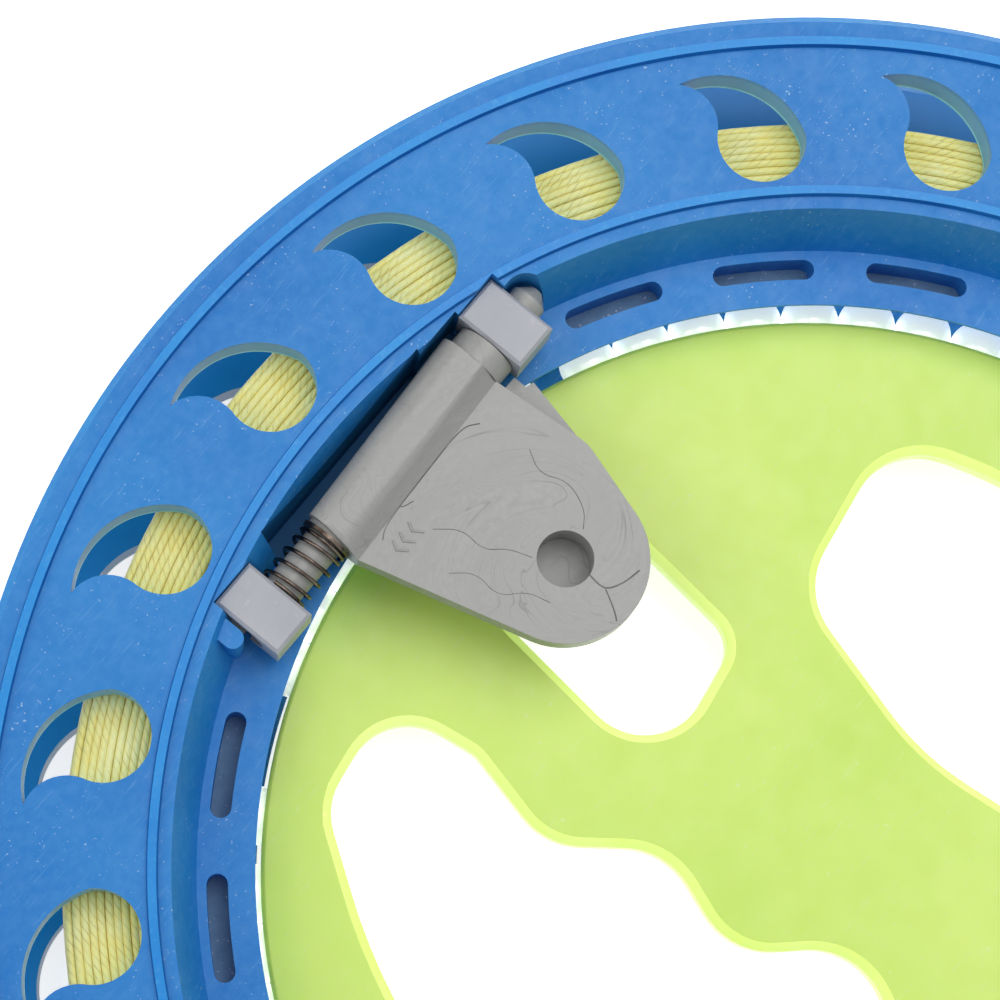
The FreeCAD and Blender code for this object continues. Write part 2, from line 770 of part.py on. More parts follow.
def bearing_balls():
    """The full set of loose balls in the race, each as one faceted solid."""
    count = int(size("ball_count"))
    pitch = size("ball_pitch_radius")
    balls = []
    for index in range(count):
        turn = 2 * math.pi * index / count
        centre = FreeCAD.Vector(pitch * math.cos(turn), pitch * math.sin(turn), size("ball_height"))
        balls.append(faceted_ball(centre, size("ball_radius")))
    feature = doc.addObject("Part::Feature", "bearing_balls")
    feature.Label = "bearing_balls"
    feature.Shape = Part.makeCompound(balls)
    feature.Placement = FreeCAD.Placement()
    return feature


def hinge_block(label, centre):
    """Hinge block: a square cap bored for the trunnion on a narrower stem."""
    body = pin_body(label)
    left = "%s - dims.block_length / 2" % centre
    right = "%s + dims.block_length / 2" % centre
    reach = "dims.block_width / 2"
    cap_foot = "(dims.cap_rise - dims.cap_height)"
    foot = "(%s - dims.socket_depth + dims.seat_gap - dims.pin_height)" % RECESS_FLOOR
    stem = outline_sketch(body, "stem_outline", "XY_Plane", box_corners(
        left + " + dims.stem_inset", right + " - dims.stem_inset",
        "-%s + dims.stem_inset" % reach, reach + " - dims.stem_inset"), foot)
    pad(body, "stem", stem, "%s - %s" % (cap_foot, foot))
    cap_outline = outline_sketch(body, "cap_outline", "XY_Plane",
                                 box_corners(left, right, "-" + reach, reach), cap_foot)
    cap = pad(body, "cap", cap_outline, "dims.cap_height")
    top = size("cap_rise") - TOUCHING
    dress(body, "Chamfer", "top_edges", cap, lambda edge: edge.BoundBox.ZMin > top, "dims.block_chamfer")
    bore_outline = circle_sketch(body, "bore_outline", "YZ_Plane", [("0", "0", TRUNNION_BORE)], right)
    pocket(body, "bore", bore_outline, "dims.block_length")
    return body


def rod(body, label, start, end, radius):
    """A cylinder round the pin axis between two places along it."""
    sketch = circle_sketch(body, label + "_outline", "YZ_Plane", [("0", "0", radius)], start)
    return pad(body, label, sketch, "%s - %s" % (end, start))


def plate_outline():
    """Handle plate in plan: from the hinge it narrows to the round tip."""
    heel = FreeCAD.Vector(size("plate_heel"), -size("spine_heel_reach"), 0)
    shoulder = FreeCAD.Vector(size("plate_shoulder"), -size("plate_shoulder_reach"), 0)
    tip = FreeCAD.Vector(size("tip_along"), -size("tip_reach"), 0)
    radius = size("tip_radius")
    end_y = tip.y - radius
    root_round = size("plate_root_round")

    def tangent_foot(start, side):
        """Where the line from a point past one side of the tip meets the tip's end line."""
        ahead = tip - start
        turn = math.atan2(ahead.y, ahead.x) - side * math.asin(radius / ahead.Length)
        return start.x + (end_y - start.y) / math.tan(turn)

    return [
        (heel.x, heel.y, root_round),
        (tangent_foot(heel, 1), end_y, radius),
        (tangent_foot(shoulder, -1), end_y, radius),
        (shoulder.x, shoulder.y, size("plate_shoulder_round")),
        (size("plate_crease"), -size("plate_root_reach"), root_round),
        (heel.x + size("plate_root_step"), -size("plate_root_reach"), root_round),
    ]


def folding_handle():
    """Winding handle: a spine with two trunnions, a flat plate with a side ledge and a bored tip."""
    body = pin_body("folding_handle")
    plate = curve_sketch(body, "plate_outline", rounded(plate_outline()), "-dims.plate_drop")
    pad(body, "plate", plate, "dims.plate_rise + dims.plate_drop")
    beside_block = "(%s - dims.ledge_side_gap)" % UPPER_BLOCK_INSIDE
    block_sweep = "(sqrt(dims.block_width ^ 2 / 4 + dims.cap_rise ^ 2) + dims.ledge_side_gap)"
    ledge_end = "-dims.plate_shoulder_reach - dims.ledge_end"
    ledge = outline_sketch(body, "ledge_outline", "XY_Plane", [
        ("dims.plate_crease - dims.ledge_overlap", "-dims.spine_heel_reach"),
        ("dims.plate_shoulder - dims.ledge_overlap", ledge_end),
        ("dims.plate_shoulder - dims.ledge_end_inset", ledge_end),
        ("dims.ledge_corner", "-%s - dims.ledge_side_gap" % block_sweep),
        (beside_block, "-" + block_sweep),
        (beside_block, "-dims.spine_heel_reach"),
    ], "-dims.plate_drop")
    pad(body, "ledge", ledge, "dims.plate_drop + dims.ledge_rise")
    boss = circle_sketch(body, "boss_outline", "XY_Plane",
                         [("dims.tip_along", "-dims.tip_reach", "dims.tip_boss_radius")],
                         "-dims.plate_drop - dims.tip_boss_depth")
    pad(body, "boss", boss, "dims.tip_boss_depth + dims.plate_drop")
    spine_outline = outline_sketch(body, "spine_outline", "XY_Plane", [
        ("dims.plate_heel", "-dims.spine_heel_reach"),
        ("dims.plate_crease", "-dims.spine_heel_reach + dims.spine_under_slope"),
        (SPINE_RIGHT, "-dims.plate_drop"),
        (SPINE_RIGHT, "dims.spine_right_reach"),
        ("dims.spine_left", "dims.spine_left_reach"),
    ], "-dims.spine_drop")
    spine = pad(body, "spine", spine_outline, "dims.spine_rise + dims.spine_drop")

    def along_pin(edge, level, outer):
        box = edge.BoundBox
        at_level = box.ZLength < TOUCHING and abs(box.ZMax - level) < TOUCHING
        return at_level and box.XLength > box.YLength and (box.YMax > 0) == outer

    top = size("spine_rise")
    foot = -size("spine_drop")
    dress(body, "Fillet", "outer_edges", spine,
          lambda edge: along_pin(edge, top, True) or along_pin(edge, foot, True), "dims.spine_edge")
    dress(body, "Chamfer", "top_slope", body.Tip, lambda edge: along_pin(edge, top, False),
          "dims.spine_slope")
    dress(body, "Chamfer", "under_slope", body.Tip, lambda edge: along_pin(edge, foot, False),
          "dims.spine_under_slope")
    rod(body, "neck", SPINE_RIGHT, NECK_END, "dims.neck_radius")
    rod(body, "collar", "dims.collar_end", "dims.spine_left", "dims.collar_radius")
    trunnions = rod(body, "trunnions", LOWER_END, UPPER_END, "dims.trunnion_radius")
    stub_face = value_of(UPPER_END) - TOUCHING
    dress(body, "Chamfer", "stub_end", trunnions, lambda edge: edge.BoundBox.XMin > stub_face,
          "dims.stub_chamfer")
    bore = circle_sketch(body, "tip_bore_outline", "XY_Plane",
                         [("dims.tip_along", "-dims.tip_reach", "dims.tip_bore_radius")], "dims.plate_rise")
    pocket(body, "tip_bore", bore, "dims.tip_bore_depth")
    return body


def thrust_washer():
    """Steel washer between the return spring and the handle's collar."""
    body = pin_body("thrust_washer")
    sketch = circle_sketch(body, "washer_outline", "YZ_Plane",
                           [("0", "0", "dims.washer_radius"), ("0", "0", TRUNNION_BORE)], WASHER_LEFT)
    pad(body, "washer", sketch, "dims.washer_thickness")
    return body


def hinge_spring():
    """Compression spring round the lower trunnion: square wire, as a chain of short straight lengths."""
    start = value_of("%s + dims.spring_end_gap" % LOWER_BLOCK_INSIDE)
    height = value_of(WASHER_LEFT) - size("spring_end_gap") - size("spring_wire") - start
    sides = int(size("spring_sides"))
    steps = int(size("spring_turns") * sides)
    inner = size("spring_radius") - size("spring_wire") / 2
    outer = size("spring_radius") + size("spring_wire") / 2
    squares = []
    for step in range(steps + 1):
        turn = 2 * math.pi * step / sides
        outwards = FreeCAD.Vector(0, math.cos(turn), math.sin(turn))
        left = FreeCAD.Vector(start + height * step / steps, 0, 0)
        right = left + FreeCAD.Vector(size("spring_wire"), 0, 0)
        squares.append([left + outwards * inner, right + outwards * inner,
                        right + outwards * outer, left + outwards * outer])
    faces = [squares[0], squares[-1]]
    for here, ahead in zip(squares, squares[1:]):
        for index in range(4):
            after = (index + 1) % 4
            faces.append([here[index], here[after], ahead[index]])
            faces.append([here[after], ahead[after], ahead[index]])
    feature = doc.addObject("Part::Feature", "hinge_spring")
    feature.Label = "hinge_spring"
    feature.Shape = facet_solid(faces)
    place_on_pin(feature)
    return feature


subparts = [
    hub_disc(),
    bearing_balls(),
    front_flange(),
    back_flange(),
    line_winding(),
    hinge_block("lower_pin_block", "-dims.lower_block"),
    hinge_block("upper_pin_block", "dims.upper_block"),
    hinge_spring(),
    thrust_washer(),
    folding_handle(),
]
doc.recompute()
for item in doc.Objects:
    if "Invalid" in item.State or "Error" in item.State:
        raise RuntimeError("%s did not recompute" % item.Label)
for item in subparts:
    if item.Shape.isNull() or not item.Shape.isValid():
        raise RuntimeError("%s has no valid shape" % item.Label)
os.makedirs("parts", exist_ok=True)
for item in subparts:
    item.Shape.exportStep("parts/%s.step" % item.Label)
    print(item.Label, len(item.Shape.Solids), round(item.Shape.Volume, 1))
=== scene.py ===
import bmesh
import bpy
import math
import random
from mathutils import Euler, Matrix, Vector


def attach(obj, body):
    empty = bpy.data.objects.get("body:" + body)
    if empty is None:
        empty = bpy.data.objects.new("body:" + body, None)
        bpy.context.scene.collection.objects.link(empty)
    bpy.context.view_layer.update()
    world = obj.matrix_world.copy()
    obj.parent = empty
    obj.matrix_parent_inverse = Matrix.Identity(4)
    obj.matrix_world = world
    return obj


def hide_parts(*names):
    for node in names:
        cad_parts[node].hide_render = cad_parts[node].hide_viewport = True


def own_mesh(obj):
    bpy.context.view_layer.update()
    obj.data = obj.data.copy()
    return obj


# Kite line reel. Sizes are in millimetres, and a mesh is brought to metres when it is finished.
# Z is the spin axis, z = 0 is the plane of the back beads, X runs along the handle's pin.

MM = 0.001
TURN = 2 * math.pi

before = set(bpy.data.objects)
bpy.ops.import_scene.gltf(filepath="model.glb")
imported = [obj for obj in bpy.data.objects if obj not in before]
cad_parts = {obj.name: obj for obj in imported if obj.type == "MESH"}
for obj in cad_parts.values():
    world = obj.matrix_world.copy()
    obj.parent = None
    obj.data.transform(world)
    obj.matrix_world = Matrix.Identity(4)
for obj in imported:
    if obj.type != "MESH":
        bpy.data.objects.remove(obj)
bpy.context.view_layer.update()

# Heights
FRONT_FACE = 24.2
FRONT_INSIDE = 20.2
BACK_INSIDE = 4.7
BACK_FACE = 0.7
RECESS_FLOOR = 15.9
BALL_HEIGHT = 6.5

# Radii
RIM = 90.0
DRUM = 71.2
WINDOW_RADIUS = 76.4
BALL_PITCH = 60.75
BALL_RADIUS = 3.175
LINE_TOP = 20.08
LAY = 1.1  # length of line from one yarn to the next

# Raised marks on the handle: where each one bends, and the way from there to its two ends
CHEVRONS = ((-1.9, 55.9), (-3.3, 55.92), (-4.46, 55.86))
RISE = (0.52, 0.88)
RUN = (0.72, -1.0)

# Light that two finishes give off
# Both are painted light: the balls and the opening edges glow, though neither is a lamp
BALL_GLOW = 0.52
OPENING_EDGE_GLOW = 0.34

# Hinge pin
PIN_Y = 62.27
PIN_Z = 20.3


# ---------------------------------------------------------------- colours and node helpers

def tint(red, green, blue):
    """A screen colour, 0 to 255, as the linear colour that shaders use."""
    linear = []
    for part in (red, green, blue):
        part /= 255
        linear.append(part / 12.92 if part < 0.04045 else ((part + 0.055) / 1.055) ** 2.4)
    return (*linear, 1.0)


class Finish:
    """A procedural material with one principled shader, and short ways to add nodes to it."""

    def __init__(self, name, roughness=0.4, specular=0.5):
        self.material = bpy.data.materials.new(name)
        self.material.use_nodes = True
        self.tree = self.material.node_tree
        self.shader = self.tree.nodes["Principled BSDF"]
        self.shader.inputs["Roughness"].default_value = roughness
        self.shader.inputs["Specular IOR Level"].default_value = specular
        self.place = self.tree.nodes.new("ShaderNodeTexCoord").outputs["Object"]

    def node(self, kind, **inputs):
        made = self.tree.nodes.new("ShaderNode" + kind)
        for name, value in inputs.items():
            self.put(made, name, value)
        return made

    def put(self, made, name, value):
        key = int(name[1:]) if name[0] == "_" else name.replace("_", " ")
        if isinstance(value, bpy.types.NodeSocket):
            self.tree.links.new(value, made.inputs[key])
        else:
            made.inputs[key].default_value = value

    def noise(self, scale, detail=3.0, roughness=0.5, distortion=0.0, place=None):
        made = self.node("TexNoise", Scale=scale, Detail=detail, Roughness=roughness, Distortion=distortion)
        self.put(made, "Vector", place or self.place)
        return made.outputs["Fac"]

    def math(self, operation, first, second=0.0, third=0.0):
        made = self.node("Math", _0=first, _1=second, _2=third)
        made.operation = operation
        return made.outputs[0]

    def range(self, value, low, high, to_low=0.0, to_high=1.0):
        made = self.node("MapRange", Value=value)
        for name, number in (("From Min", low), ("From Max", high),
                             ("To Min", to_low), ("To Max", to_high)):
            made.inputs[name].default_value = number
        return made.outputs[0]

    def mix(self, factor, first, second, blend="MIX"):
        made = self.tree.nodes.new("ShaderNodeMix")
        made.data_type = "RGBA"
        made.blend_type = blend
        for key, value in ((0, factor), (6, first), (7, second)):
            self.put(made, "_%d" % key, value)
        return made.outputs[2]

    def parts(self, vector):
        return self.node("SeparateXYZ", Vector=vector).outputs

    def bump(self, height, strength, distance=0.0002, normal=None):
        made = self.node("Bump", Height=height, Strength=strength, Distance=distance)
        if normal is not None:
            self.put(made, "Normal", normal)
        return made.outputs[0]

    def see_into(self, weight, depth, spread):
        """Let light into the plastic by a depth in metres."""
        self.shader.inputs["Subsurface Weight"].default_value = weight
        self.shader.inputs["Subsurface Scale"].default_value = depth
        self.shader.inputs["Subsurface Radius"].default_value = spread

    def finish(self, colour=None, roughness=None, normal=None):
        for name, value in (("Base Color", colour), ("Roughness", roughness), ("Normal", normal)):
            if value is not None:
                self.put(self.shader, name, value)
        return self.material


def blue_colour(new, deep, pale):
    """Cloudy blue with fine grain and a little pale dust."""
    cloud = new.range(new.noise(28, 3, 0.55), 0.35, 0.68)
    colour = new.mix(cloud, deep, pale)
    fine = new.range(new.noise(900, 2, 0.6), 0.35, 0.7)
    colour = new.mix(new.math("MULTIPLY", fine, 0.14), colour, tint(104, 170, 224))
    dust = new.range(new.noise(3000, 1, 0.4), 0.71, 0.77)
    patch = new.range(new.noise(160, 2, 0.5), 0.42, 0.62)
    speck = new.math("MULTIPLY", new.math("MULTIPLY", dust, patch), 0.55)
    return new.mix(speck, colour, tint(196, 222, 240))


def blue_plastic():
    """Satin moulded plastic, a little clear, with fine scratches."""
    new = Finish("ring_blue_plastic", roughness=0.42, specular=0.36)
    colour = blue_colour(new, tint(4, 117, 197), tint(32, 134, 209))
    place = new.node("Mapping", Vector=new.place, Scale=(1.0, 14.0, 1.0), Rotation=(0, 0, 0.9)).outputs[0]
    scratch = new.range(new.noise(300, 2, 0.5, 0.4, place), 0.64, 0.7)
    colour = new.mix(new.math("MULTIPLY", scratch, 0.18), colour, tint(120, 178, 226))
    new.see_into(0.2, 0.001, (0.25, 0.6, 1.0))
    rough = new.range(new.noise(400, 3, 0.6), 0.3, 0.75, 0.36, 0.54)
    normal = new.bump(new.noise(1500, 3, 0.6), 0.10, 0.0001)
    return new.finish(colour, rough, normal)


def groove_side_plastic():
    """The same plastic on the inner faces between the flanges: glossier, without dust or scratches, and a
    deeper blue that is painted shade of the space between the flanges.
    """
    new = Finish("groove_side_blue_plastic", roughness=0.36, specular=0.2)
    cloud = new.range(new.noise(40, 3, 0.55), 0.35, 0.68)
    colour = new.mix(cloud, tint(18, 126, 206), tint(30, 138, 217))
    new.see_into(0.25, 0.0012, (0.25, 0.6, 1.0))
    normal = new.bump(new.noise(1500, 3, 0.6), 0.08, 0.0001)
    return new.finish(colour, new.range(cloud, 0, 1, 0.26, 0.36), normal)


def painted_highlight_edge_plastic():
    """The thin crests and rounded edges, painted lighter than the face: a painted highlight, standing for
    light they pick up from inside the plastic.
    """
    new = Finish("painted_highlight_edge_blue_plastic", roughness=0.4, specular=0.3)
    cloud = new.range(new.noise(90, 3, 0.55), 0.35, 0.68)
    colour = new.mix(cloud, tint(4, 134, 216), tint(36, 150, 224))
    fine = new.range(new.noise(1300, 2, 0.6), 0.55, 0.75)
    colour = new.mix(new.math("MULTIPLY", fine, 0.2), colour, tint(110, 190, 236))
    new.see_into(0.3, 0.001, (0.25, 0.6, 1.0))
    return new.finish(colour, new.range(cloud, 0, 1, 0.26, 0.38))


def shaded_step_plastic():
    """The short steep sides of the beads, painted darker than the face: painted shade."""
    new = Finish("bead_side_painted_shade_blue_plastic", roughness=0.45, specular=0.25)
    cloud = new.range(new.noise(120, 3, 0.55), 0.35, 0.68)
    colour = new.mix(cloud, tint(16, 98, 176), tint(28, 114, 190))
    return new.finish(colour, new.range(cloud, 0, 1, 0.4, 0.5))


def window_edge_plastic(name, low, high, deep, pale, top, foot):
    """Cut edge of a window: greyer than the face, a painted reflection of the white room, and painted
    bright at its foot, a painted highlight for light that leaks in there.
    """
    new = Finish(name, roughness=0.35, specular=0.45)
    height = new.parts(new.place)[2]
    share = new.range(height, low * MM, high * MM)
    cloud = new.range(new.noise(260, 3, 0.6), 0.35, 0.68)
    colour = new.mix(cloud, deep, pale)
    colour = new.mix(new.range(share, 0.75, 1.0), colour, top)
    # Painted highlight: the foot of the wall blends to the bright foot colour
    colour = new.mix(new.range(share, 0.05, 0.14, 1.0, 0.0), colour, foot)
    new.see_into(0.2, 0.001, (0.4, 0.8, 1.0))
    return new.finish(colour, new.range(cloud, 0, 1, 0.3, 0.42))


def slot_floor_plastic():
    """Floor of the cored slots: a greyer, paler blue than the face, with pale specks."""
    new = Finish("slot_floor_grey_plastic", roughness=0.6, specular=0.3)
    cloud = new.range(new.noise(420, 3, 0.6), 0.35, 0.68)
    colour = new.mix(cloud, tint(84, 122, 158), tint(110, 142, 174))
    speck = new.range(new.noise(2400, 1, 0.4), 0.7, 0.76)
    colour = new.mix(new.math("MULTIPLY", speck, 0.5), colour, tint(206, 218, 230))
    return new.finish(colour, new.range(cloud, 0, 1, 0.5, 0.7))


def green_plastic():
    """Slightly clear yellow-green plastic with pale scratches."""
    new = Finish("disc_green_plastic", roughness=0.38, specular=0.4)
    cloud = new.range(new.noise(22, 3, 0.55), 0.35, 0.68)
    colour = new.mix(cloud, tint(206, 236, 108), tint(220, 244, 126))
    place = new.node("Mapping", Vector=new.place, Scale=(1.0, 9.0, 1.0), Rotation=(0, 0, 0.6)).outputs[0]
    scratch = new.range(new.noise(420, 2, 0.5, 0.6, place), 0.63, 0.7)
    colour = new.mix(new.math("MULTIPLY", scratch, 0.25), colour, tint(226, 242, 172))
    speck = new.range(new.noise(1500, 1, 0.4), 0.74, 0.79)
    colour = new.mix(new.math("MULTIPLY", speck, 0.35), colour, tint(236, 246, 196))
    new.see_into(0.5, 0.0022, (0.9, 1.0, 0.35))
    rough = new.range(new.noise(300, 3, 0.6), 0.3, 0.75, 0.3, 0.5)
    normal = new.bump(new.noise(900, 3, 0.6), 0.08, 0.0001)
    return new.finish(colour, rough, normal)


def green_edge_plastic():
    """Walls and rounded edges of the openings, painted paler than the face and given a glow: painted light,
    standing for light through the plastic.
    """
    new = Finish("opening_edge_painted_light_green_plastic", roughness=0.3, specular=0.5)
    cloud = new.range(new.noise(60, 3, 0.55), 0.35, 0.68)
    colour = new.mix(cloud, tint(222, 250, 122), tint(236, 255, 156))
    new.shader.inputs["Emission Color"].default_value = tint(226, 255, 146)
    new.shader.inputs["Emission Strength"].default_value = OPENING_EDGE_GLOW
    new.see_into(0.6, 0.0025, (0.9, 1.0, 0.4))
    return new.finish(colour, new.range(cloud, 0, 1, 0.24, 0.36))


def flow_lines(new, field, count, width):
    """Thin contour lines of a field, 1 on a line and 0 between."""
    bands = new.math("FRACT", new.math("MULTIPLY", field, count))
    away = new.math("ABSOLUTE", new.math("SUBTRACT", bands, 0.5))
    return new.range(away, 0.0, width, 1.0, 0.0)


def handle_plastic():
    """Grey plastic with the marks of its flow into the mould: fine lines that curl round the bore."""
    new = Finish("handle_swirled_plastic", roughness=0.36, specular=0.45)
    bore = (0.006, 0.04187, 0.0)
    gap = new.node("VectorMath", _0=new.place, _1=bore)
    gap.operation = "SUBTRACT"
    x, y, _ = new.parts(gap.outputs[0])
    away = new.math("SQRT", new.math("ADD", new.math("MULTIPLY", x, x), new.math("MULTIPLY", y, y)))
    curl = new.node("VectorRotate", Vector=new.place, Center=bore, Axis=(0, 0, 1),
                    Angle=new.range(away, 0.002, 0.02, 3.6, 0.0)).outputs[0]
    warp = new.node("TexNoise", Vector=curl, Scale=75.0, Detail=2.0, Roughness=0.5)
    offset = new.node("VectorMath", _0=warp.outputs["Color"], _1=(0.5, 0.5, 0.5))
    offset.operation = "SUBTRACT"
    scaled = new.node("VectorMath", _0=offset.outputs[0])
    scaled.operation = "SCALE"
    scaled.inputs["Scale"].default_value = 0.014
    moved = new.node("VectorMath", _0=curl, _1=scaled.outputs[0])
    moved.operation = "ADD"
    field = new.noise(85, 2, 0.45, 0.6, moved.outputs[0])
    broken = new.range(new.noise(150, 2, 0.5), 0.42, 0.6)
    strong = new.math("MULTIPLY", flow_lines(new, field, 9.0, 0.035), broken)
    faint = flow_lines(new, field, 46.0, 0.2)
    faint = new.math("MULTIPLY", faint, new.range(new.noise(60, 2, 0.5), 0.38, 0.62))
    cloud = new.range(field, 0.3, 0.7)
    colour = new.mix(cloud, tint(150, 150, 147), tint(168, 168, 165))
    colour = new.mix(new.range(new.noise(1400, 2, 0.5), 0.35, 0.7), colour, tint(159, 159, 156))
    colour = new.mix(new.math("MULTIPLY", faint, 0.24), colour, tint(132, 132, 130))
    colour = new.mix(new.math("MULTIPLY", strong, 0.6), colour, tint(104, 104, 102))
    # Darker streaks only on the spine's sloping side, 21.75 to 23.5 mm up: painted shade of that slope
    height = new.parts(new.place)[2]
    side = new.math("MULTIPLY", new.range(height, 21.75 * MM, 22.6 * MM),
                    new.range(height, 23.0 * MM, 23.5 * MM, 1.0, 0.0))
    streak = new.node("Mapping", Vector=new.place, Scale=(1.0, 22.0, 22.0)).outputs[0]
    streak = new.range(new.noise(70, 3, 0.6, 0.3, streak), 0.35, 0.7)
    slope_shade_streak = new.math("MULTIPLY", new.math("MULTIPLY", side, streak), 0.3)
    colour = new.mix(slope_shade_streak, colour, tint(140, 140, 136))
    rough = new.range(cloud, 0.0, 1.0, 0.32, 0.44)
    relief = new.math("SUBTRACT", new.noise(1100, 3, 0.6), new.math("MULTIPLY", faint, 0.6))
    normal = new.bump(relief, 0.12, 0.0001)
    return new.finish(colour, rough, normal)


def weld_line_plastic():
    new = Finish("weld_line_grey_plastic", roughness=0.5, specular=0.3)
    cloud = new.range(new.noise(700, 2, 0.5), 0.35, 0.68)
    return new.finish(new.mix(cloud, tint(92, 92, 90), tint(128, 128, 126)),
                      new.range(cloud, 0, 1, 0.42, 0.6))


def block_plastic():
    new = Finish("block_grey_plastic", roughness=0.42, specular=0.4)
    cloud = new.range(new.noise(140, 3, 0.55), 0.35, 0.68)
    colour = new.mix(cloud, tint(165, 167, 174), tint(180, 182, 188))
    mark = new.range(new.noise(900, 2, 0.5, 1.0), 0.66, 0.74)
    colour = new.mix(new.math("MULTIPLY", mark, 0.3), colour, tint(206, 207, 212))
    normal = new.bump(new.noise(1500, 3, 0.6), 0.1, 0.0001)
    return new.finish(colour, new.range(cloud, 0, 1, 0.36, 0.48), normal)


def steel(name, dark, light, roughness):
    new = Finish(name, roughness=roughness, specular=0.5)
    new.shader.inputs["Metallic"].default_value = 1.0
    cloud = new.range(new.noise(500, 4, 0.6), 0.35, 0.68)
    colour = new.mix(cloud, dark, light)
    normal = new.bump(new.noise(2500, 2, 0.5), 0.05, 0.0001)
    return new.finish(colour, new.range(cloud, 0, 1, roughness - 0.04, roughness + 0.06), normal)


def ball_finish():
    """Steel balls painted near white: a painted reflection of the white room round them. Their glow is
    painted light too, standing for that room's light, which the web hides.
    """
    new = Finish("ball_steel_painted_reflection_and_glow", roughness=0.16, specular=0.7)
    new.shader.inputs["Metallic"].default_value = 0.1
    cloud = new.range(new.noise(240, 3, 0.6), 0.35, 0.68)
    colour = new.mix(cloud, tint(244, 248, 246), tint(255, 255, 252))
    new.shader.inputs["Emission Color"].default_value = tint(244, 252, 250)
    new.shader.inputs["Emission Strength"].default_value = BALL_GLOW
    return new.finish(colour, new.range(cloud, 0, 1, 0.12, 0.2))


def laid_line():
    """Pale yellow three strand line: slanting grooves between its yarns, and a little fuzz."""
    new = Finish("pale_yellow_line", roughness=0.6, specular=0.25)
    strand_map = new.node("UVMap")
    strand_map.uv_map = "along_and_round"
    along, around, _ = new.parts(strand_map.outputs[0])
    lay = new.math("ADD", along, new.math("MULTIPLY", around, 3.0))
    wave = new.math("ABSOLUTE", new.math("SUBTRACT", new.math("FRACT", lay), 0.5))
    groove = new.range(wave, 0.0, 0.18, 1.0, 0.0)
    groove_unevenness = new.range(new.noise(420, 3, 0.6), 0.34, 0.62)
    groove = new.math("MULTIPLY", groove, groove_unevenness)
    cloud = new.range(new.noise(220, 3, 0.6), 0.35, 0.68)
    colour = new.mix(cloud, tint(254, 238, 146), tint(255, 247, 176))
    # The grooves are also darkened in colour: painted shade between the yarns
    colour = new.mix(new.math("MULTIPLY", groove, 0.6), colour, tint(190, 178, 98))
    fuzz = new.range(new.noise(2600, 2, 0.6), 0.6, 0.75)
    colour = new.mix(new.math("MULTIPLY", fuzz, 0.4), colour, tint(255, 255, 226))
    new.see_into(0.4, 0.0008, (1.0, 0.95, 0.5))
    normal = new.bump(groove, 0.5, -0.0001)
    return new.finish(colour, None, normal)


# ---------------------------------------------------------------- mesh helpers

def piece(name, bm, materials, body, stands_for=()):
    """Turn a finished bmesh, in millimetres, into an object that rides on a body."""
    bmesh.ops.scale(bm, vec=(MM, MM, MM), verts=bm.verts)
    for face in bm.faces:
        face.smooth = True
    mesh = bpy.data.meshes.new(name)
    bm.to_mesh(mesh)
    bm.free()
    for material in materials:
        mesh.materials.append(material)
    made = bpy.data.objects.new(name, mesh)
    bpy.context.scene.collection.objects.link(made)
    settle(made, body, stands_for)
    return made


def settle(made, body, stands_for=()):
    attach(made, body)
    if stands_for:
        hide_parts(*stands_for)


def crisp(made, angle=35):
    """Smooth shading that stays flat on large faces and sharp past an angle."""
    made.data.set_sharp_from_angle(angle=math.radians(angle))
    weighted = made.modifiers.new("flat_faces", "WEIGHTED_NORMAL")
    weighted.keep_sharp = True
    return made


def turned(profile, steps):
    """Spin a closed outline of radius and height corners round Z."""
    bm = bmesh.new()
    corners = [bm.verts.new((radius, 0, height)) for radius, height in profile]
    sides = [bm.edges.new(pair) for pair in zip(corners, corners[1:] + corners[:1])]
    bmesh.ops.spin(bm, geom=corners + sides, cent=(0, 0, 0), axis=(0, 0, 1), angle=TURN,
                   steps=steps, use_merge=True)
    bmesh.ops.remove_doubles(bm, verts=bm.verts, dist=0.0005)
    bmesh.ops.recalc_face_normals(bm, faces=bm.faces)
    return bm


def box(bm, left, right, near, far, low, high):
    made = bmesh.ops.create_cube(bm, size=1)["verts"]
    bmesh.ops.scale(bm, vec=(right - left, far - near, high - low), verts=made)
    middle = ((left + right) / 2, (near + far) / 2, (low + high) / 2)
    bmesh.ops.translate(bm, vec=middle, verts=made)
    return made


def sweep_arc(bm, start, through, end, steps):
    """A chain of vertices along the arc through three places."""
    a, b, c = (Vector((*place, 0)) for place in (start, through, end))
    ab, ac = b - a, c - a
    normal = ab.cross(ac)
    centre = a + (ac.length_squared * normal.cross(ab) + ab.length_squared * ac.cross(normal)) \
        / (2 * normal.length_squared)
    first, last = a - centre, c - centre
    axis = normal.normalized()
    angle = math.atan2(first.cross(last).dot(axis), first.dot(last)) % TURN
    vertex = bm.verts.new(a)
    bmesh.ops.spin(bm, geom=[vertex], cent=centre, axis=axis, angle=angle, steps=steps)


def prism(bm, low, high, chains):
    """Close chains of vertices into an outline, fill it and raise it from low to high."""
    flat = bmesh.new()
    chains(flat)
    bmesh.ops.remove_doubles(flat, verts=flat.verts, dist=0.001)
    bmesh.ops.contextual_create(flat, geom=flat.edges[:])
    bmesh.ops.translate(flat, vec=(0, 0, low), verts=flat.verts)
    raised = bmesh.ops.extrude_face_region(flat, geom=flat.faces[:])["geom"]
    tops = [item for item in raised if isinstance(item, bmesh.types.BMVert)]
    bmesh.ops.translate(flat, vec=(0, 0, high - low), verts=tops)
    bmesh.ops.recalc_face_normals(flat, faces=flat.faces)
    mesh = bpy.data.meshes.new("outline")
    flat.to_mesh(mesh)
    flat.free()
    before = set(bm.verts)
    bm.from_mesh(mesh)
    bpy.data.meshes.remove(mesh)
    return [vertex for vertex in bm.verts if vertex not in before]


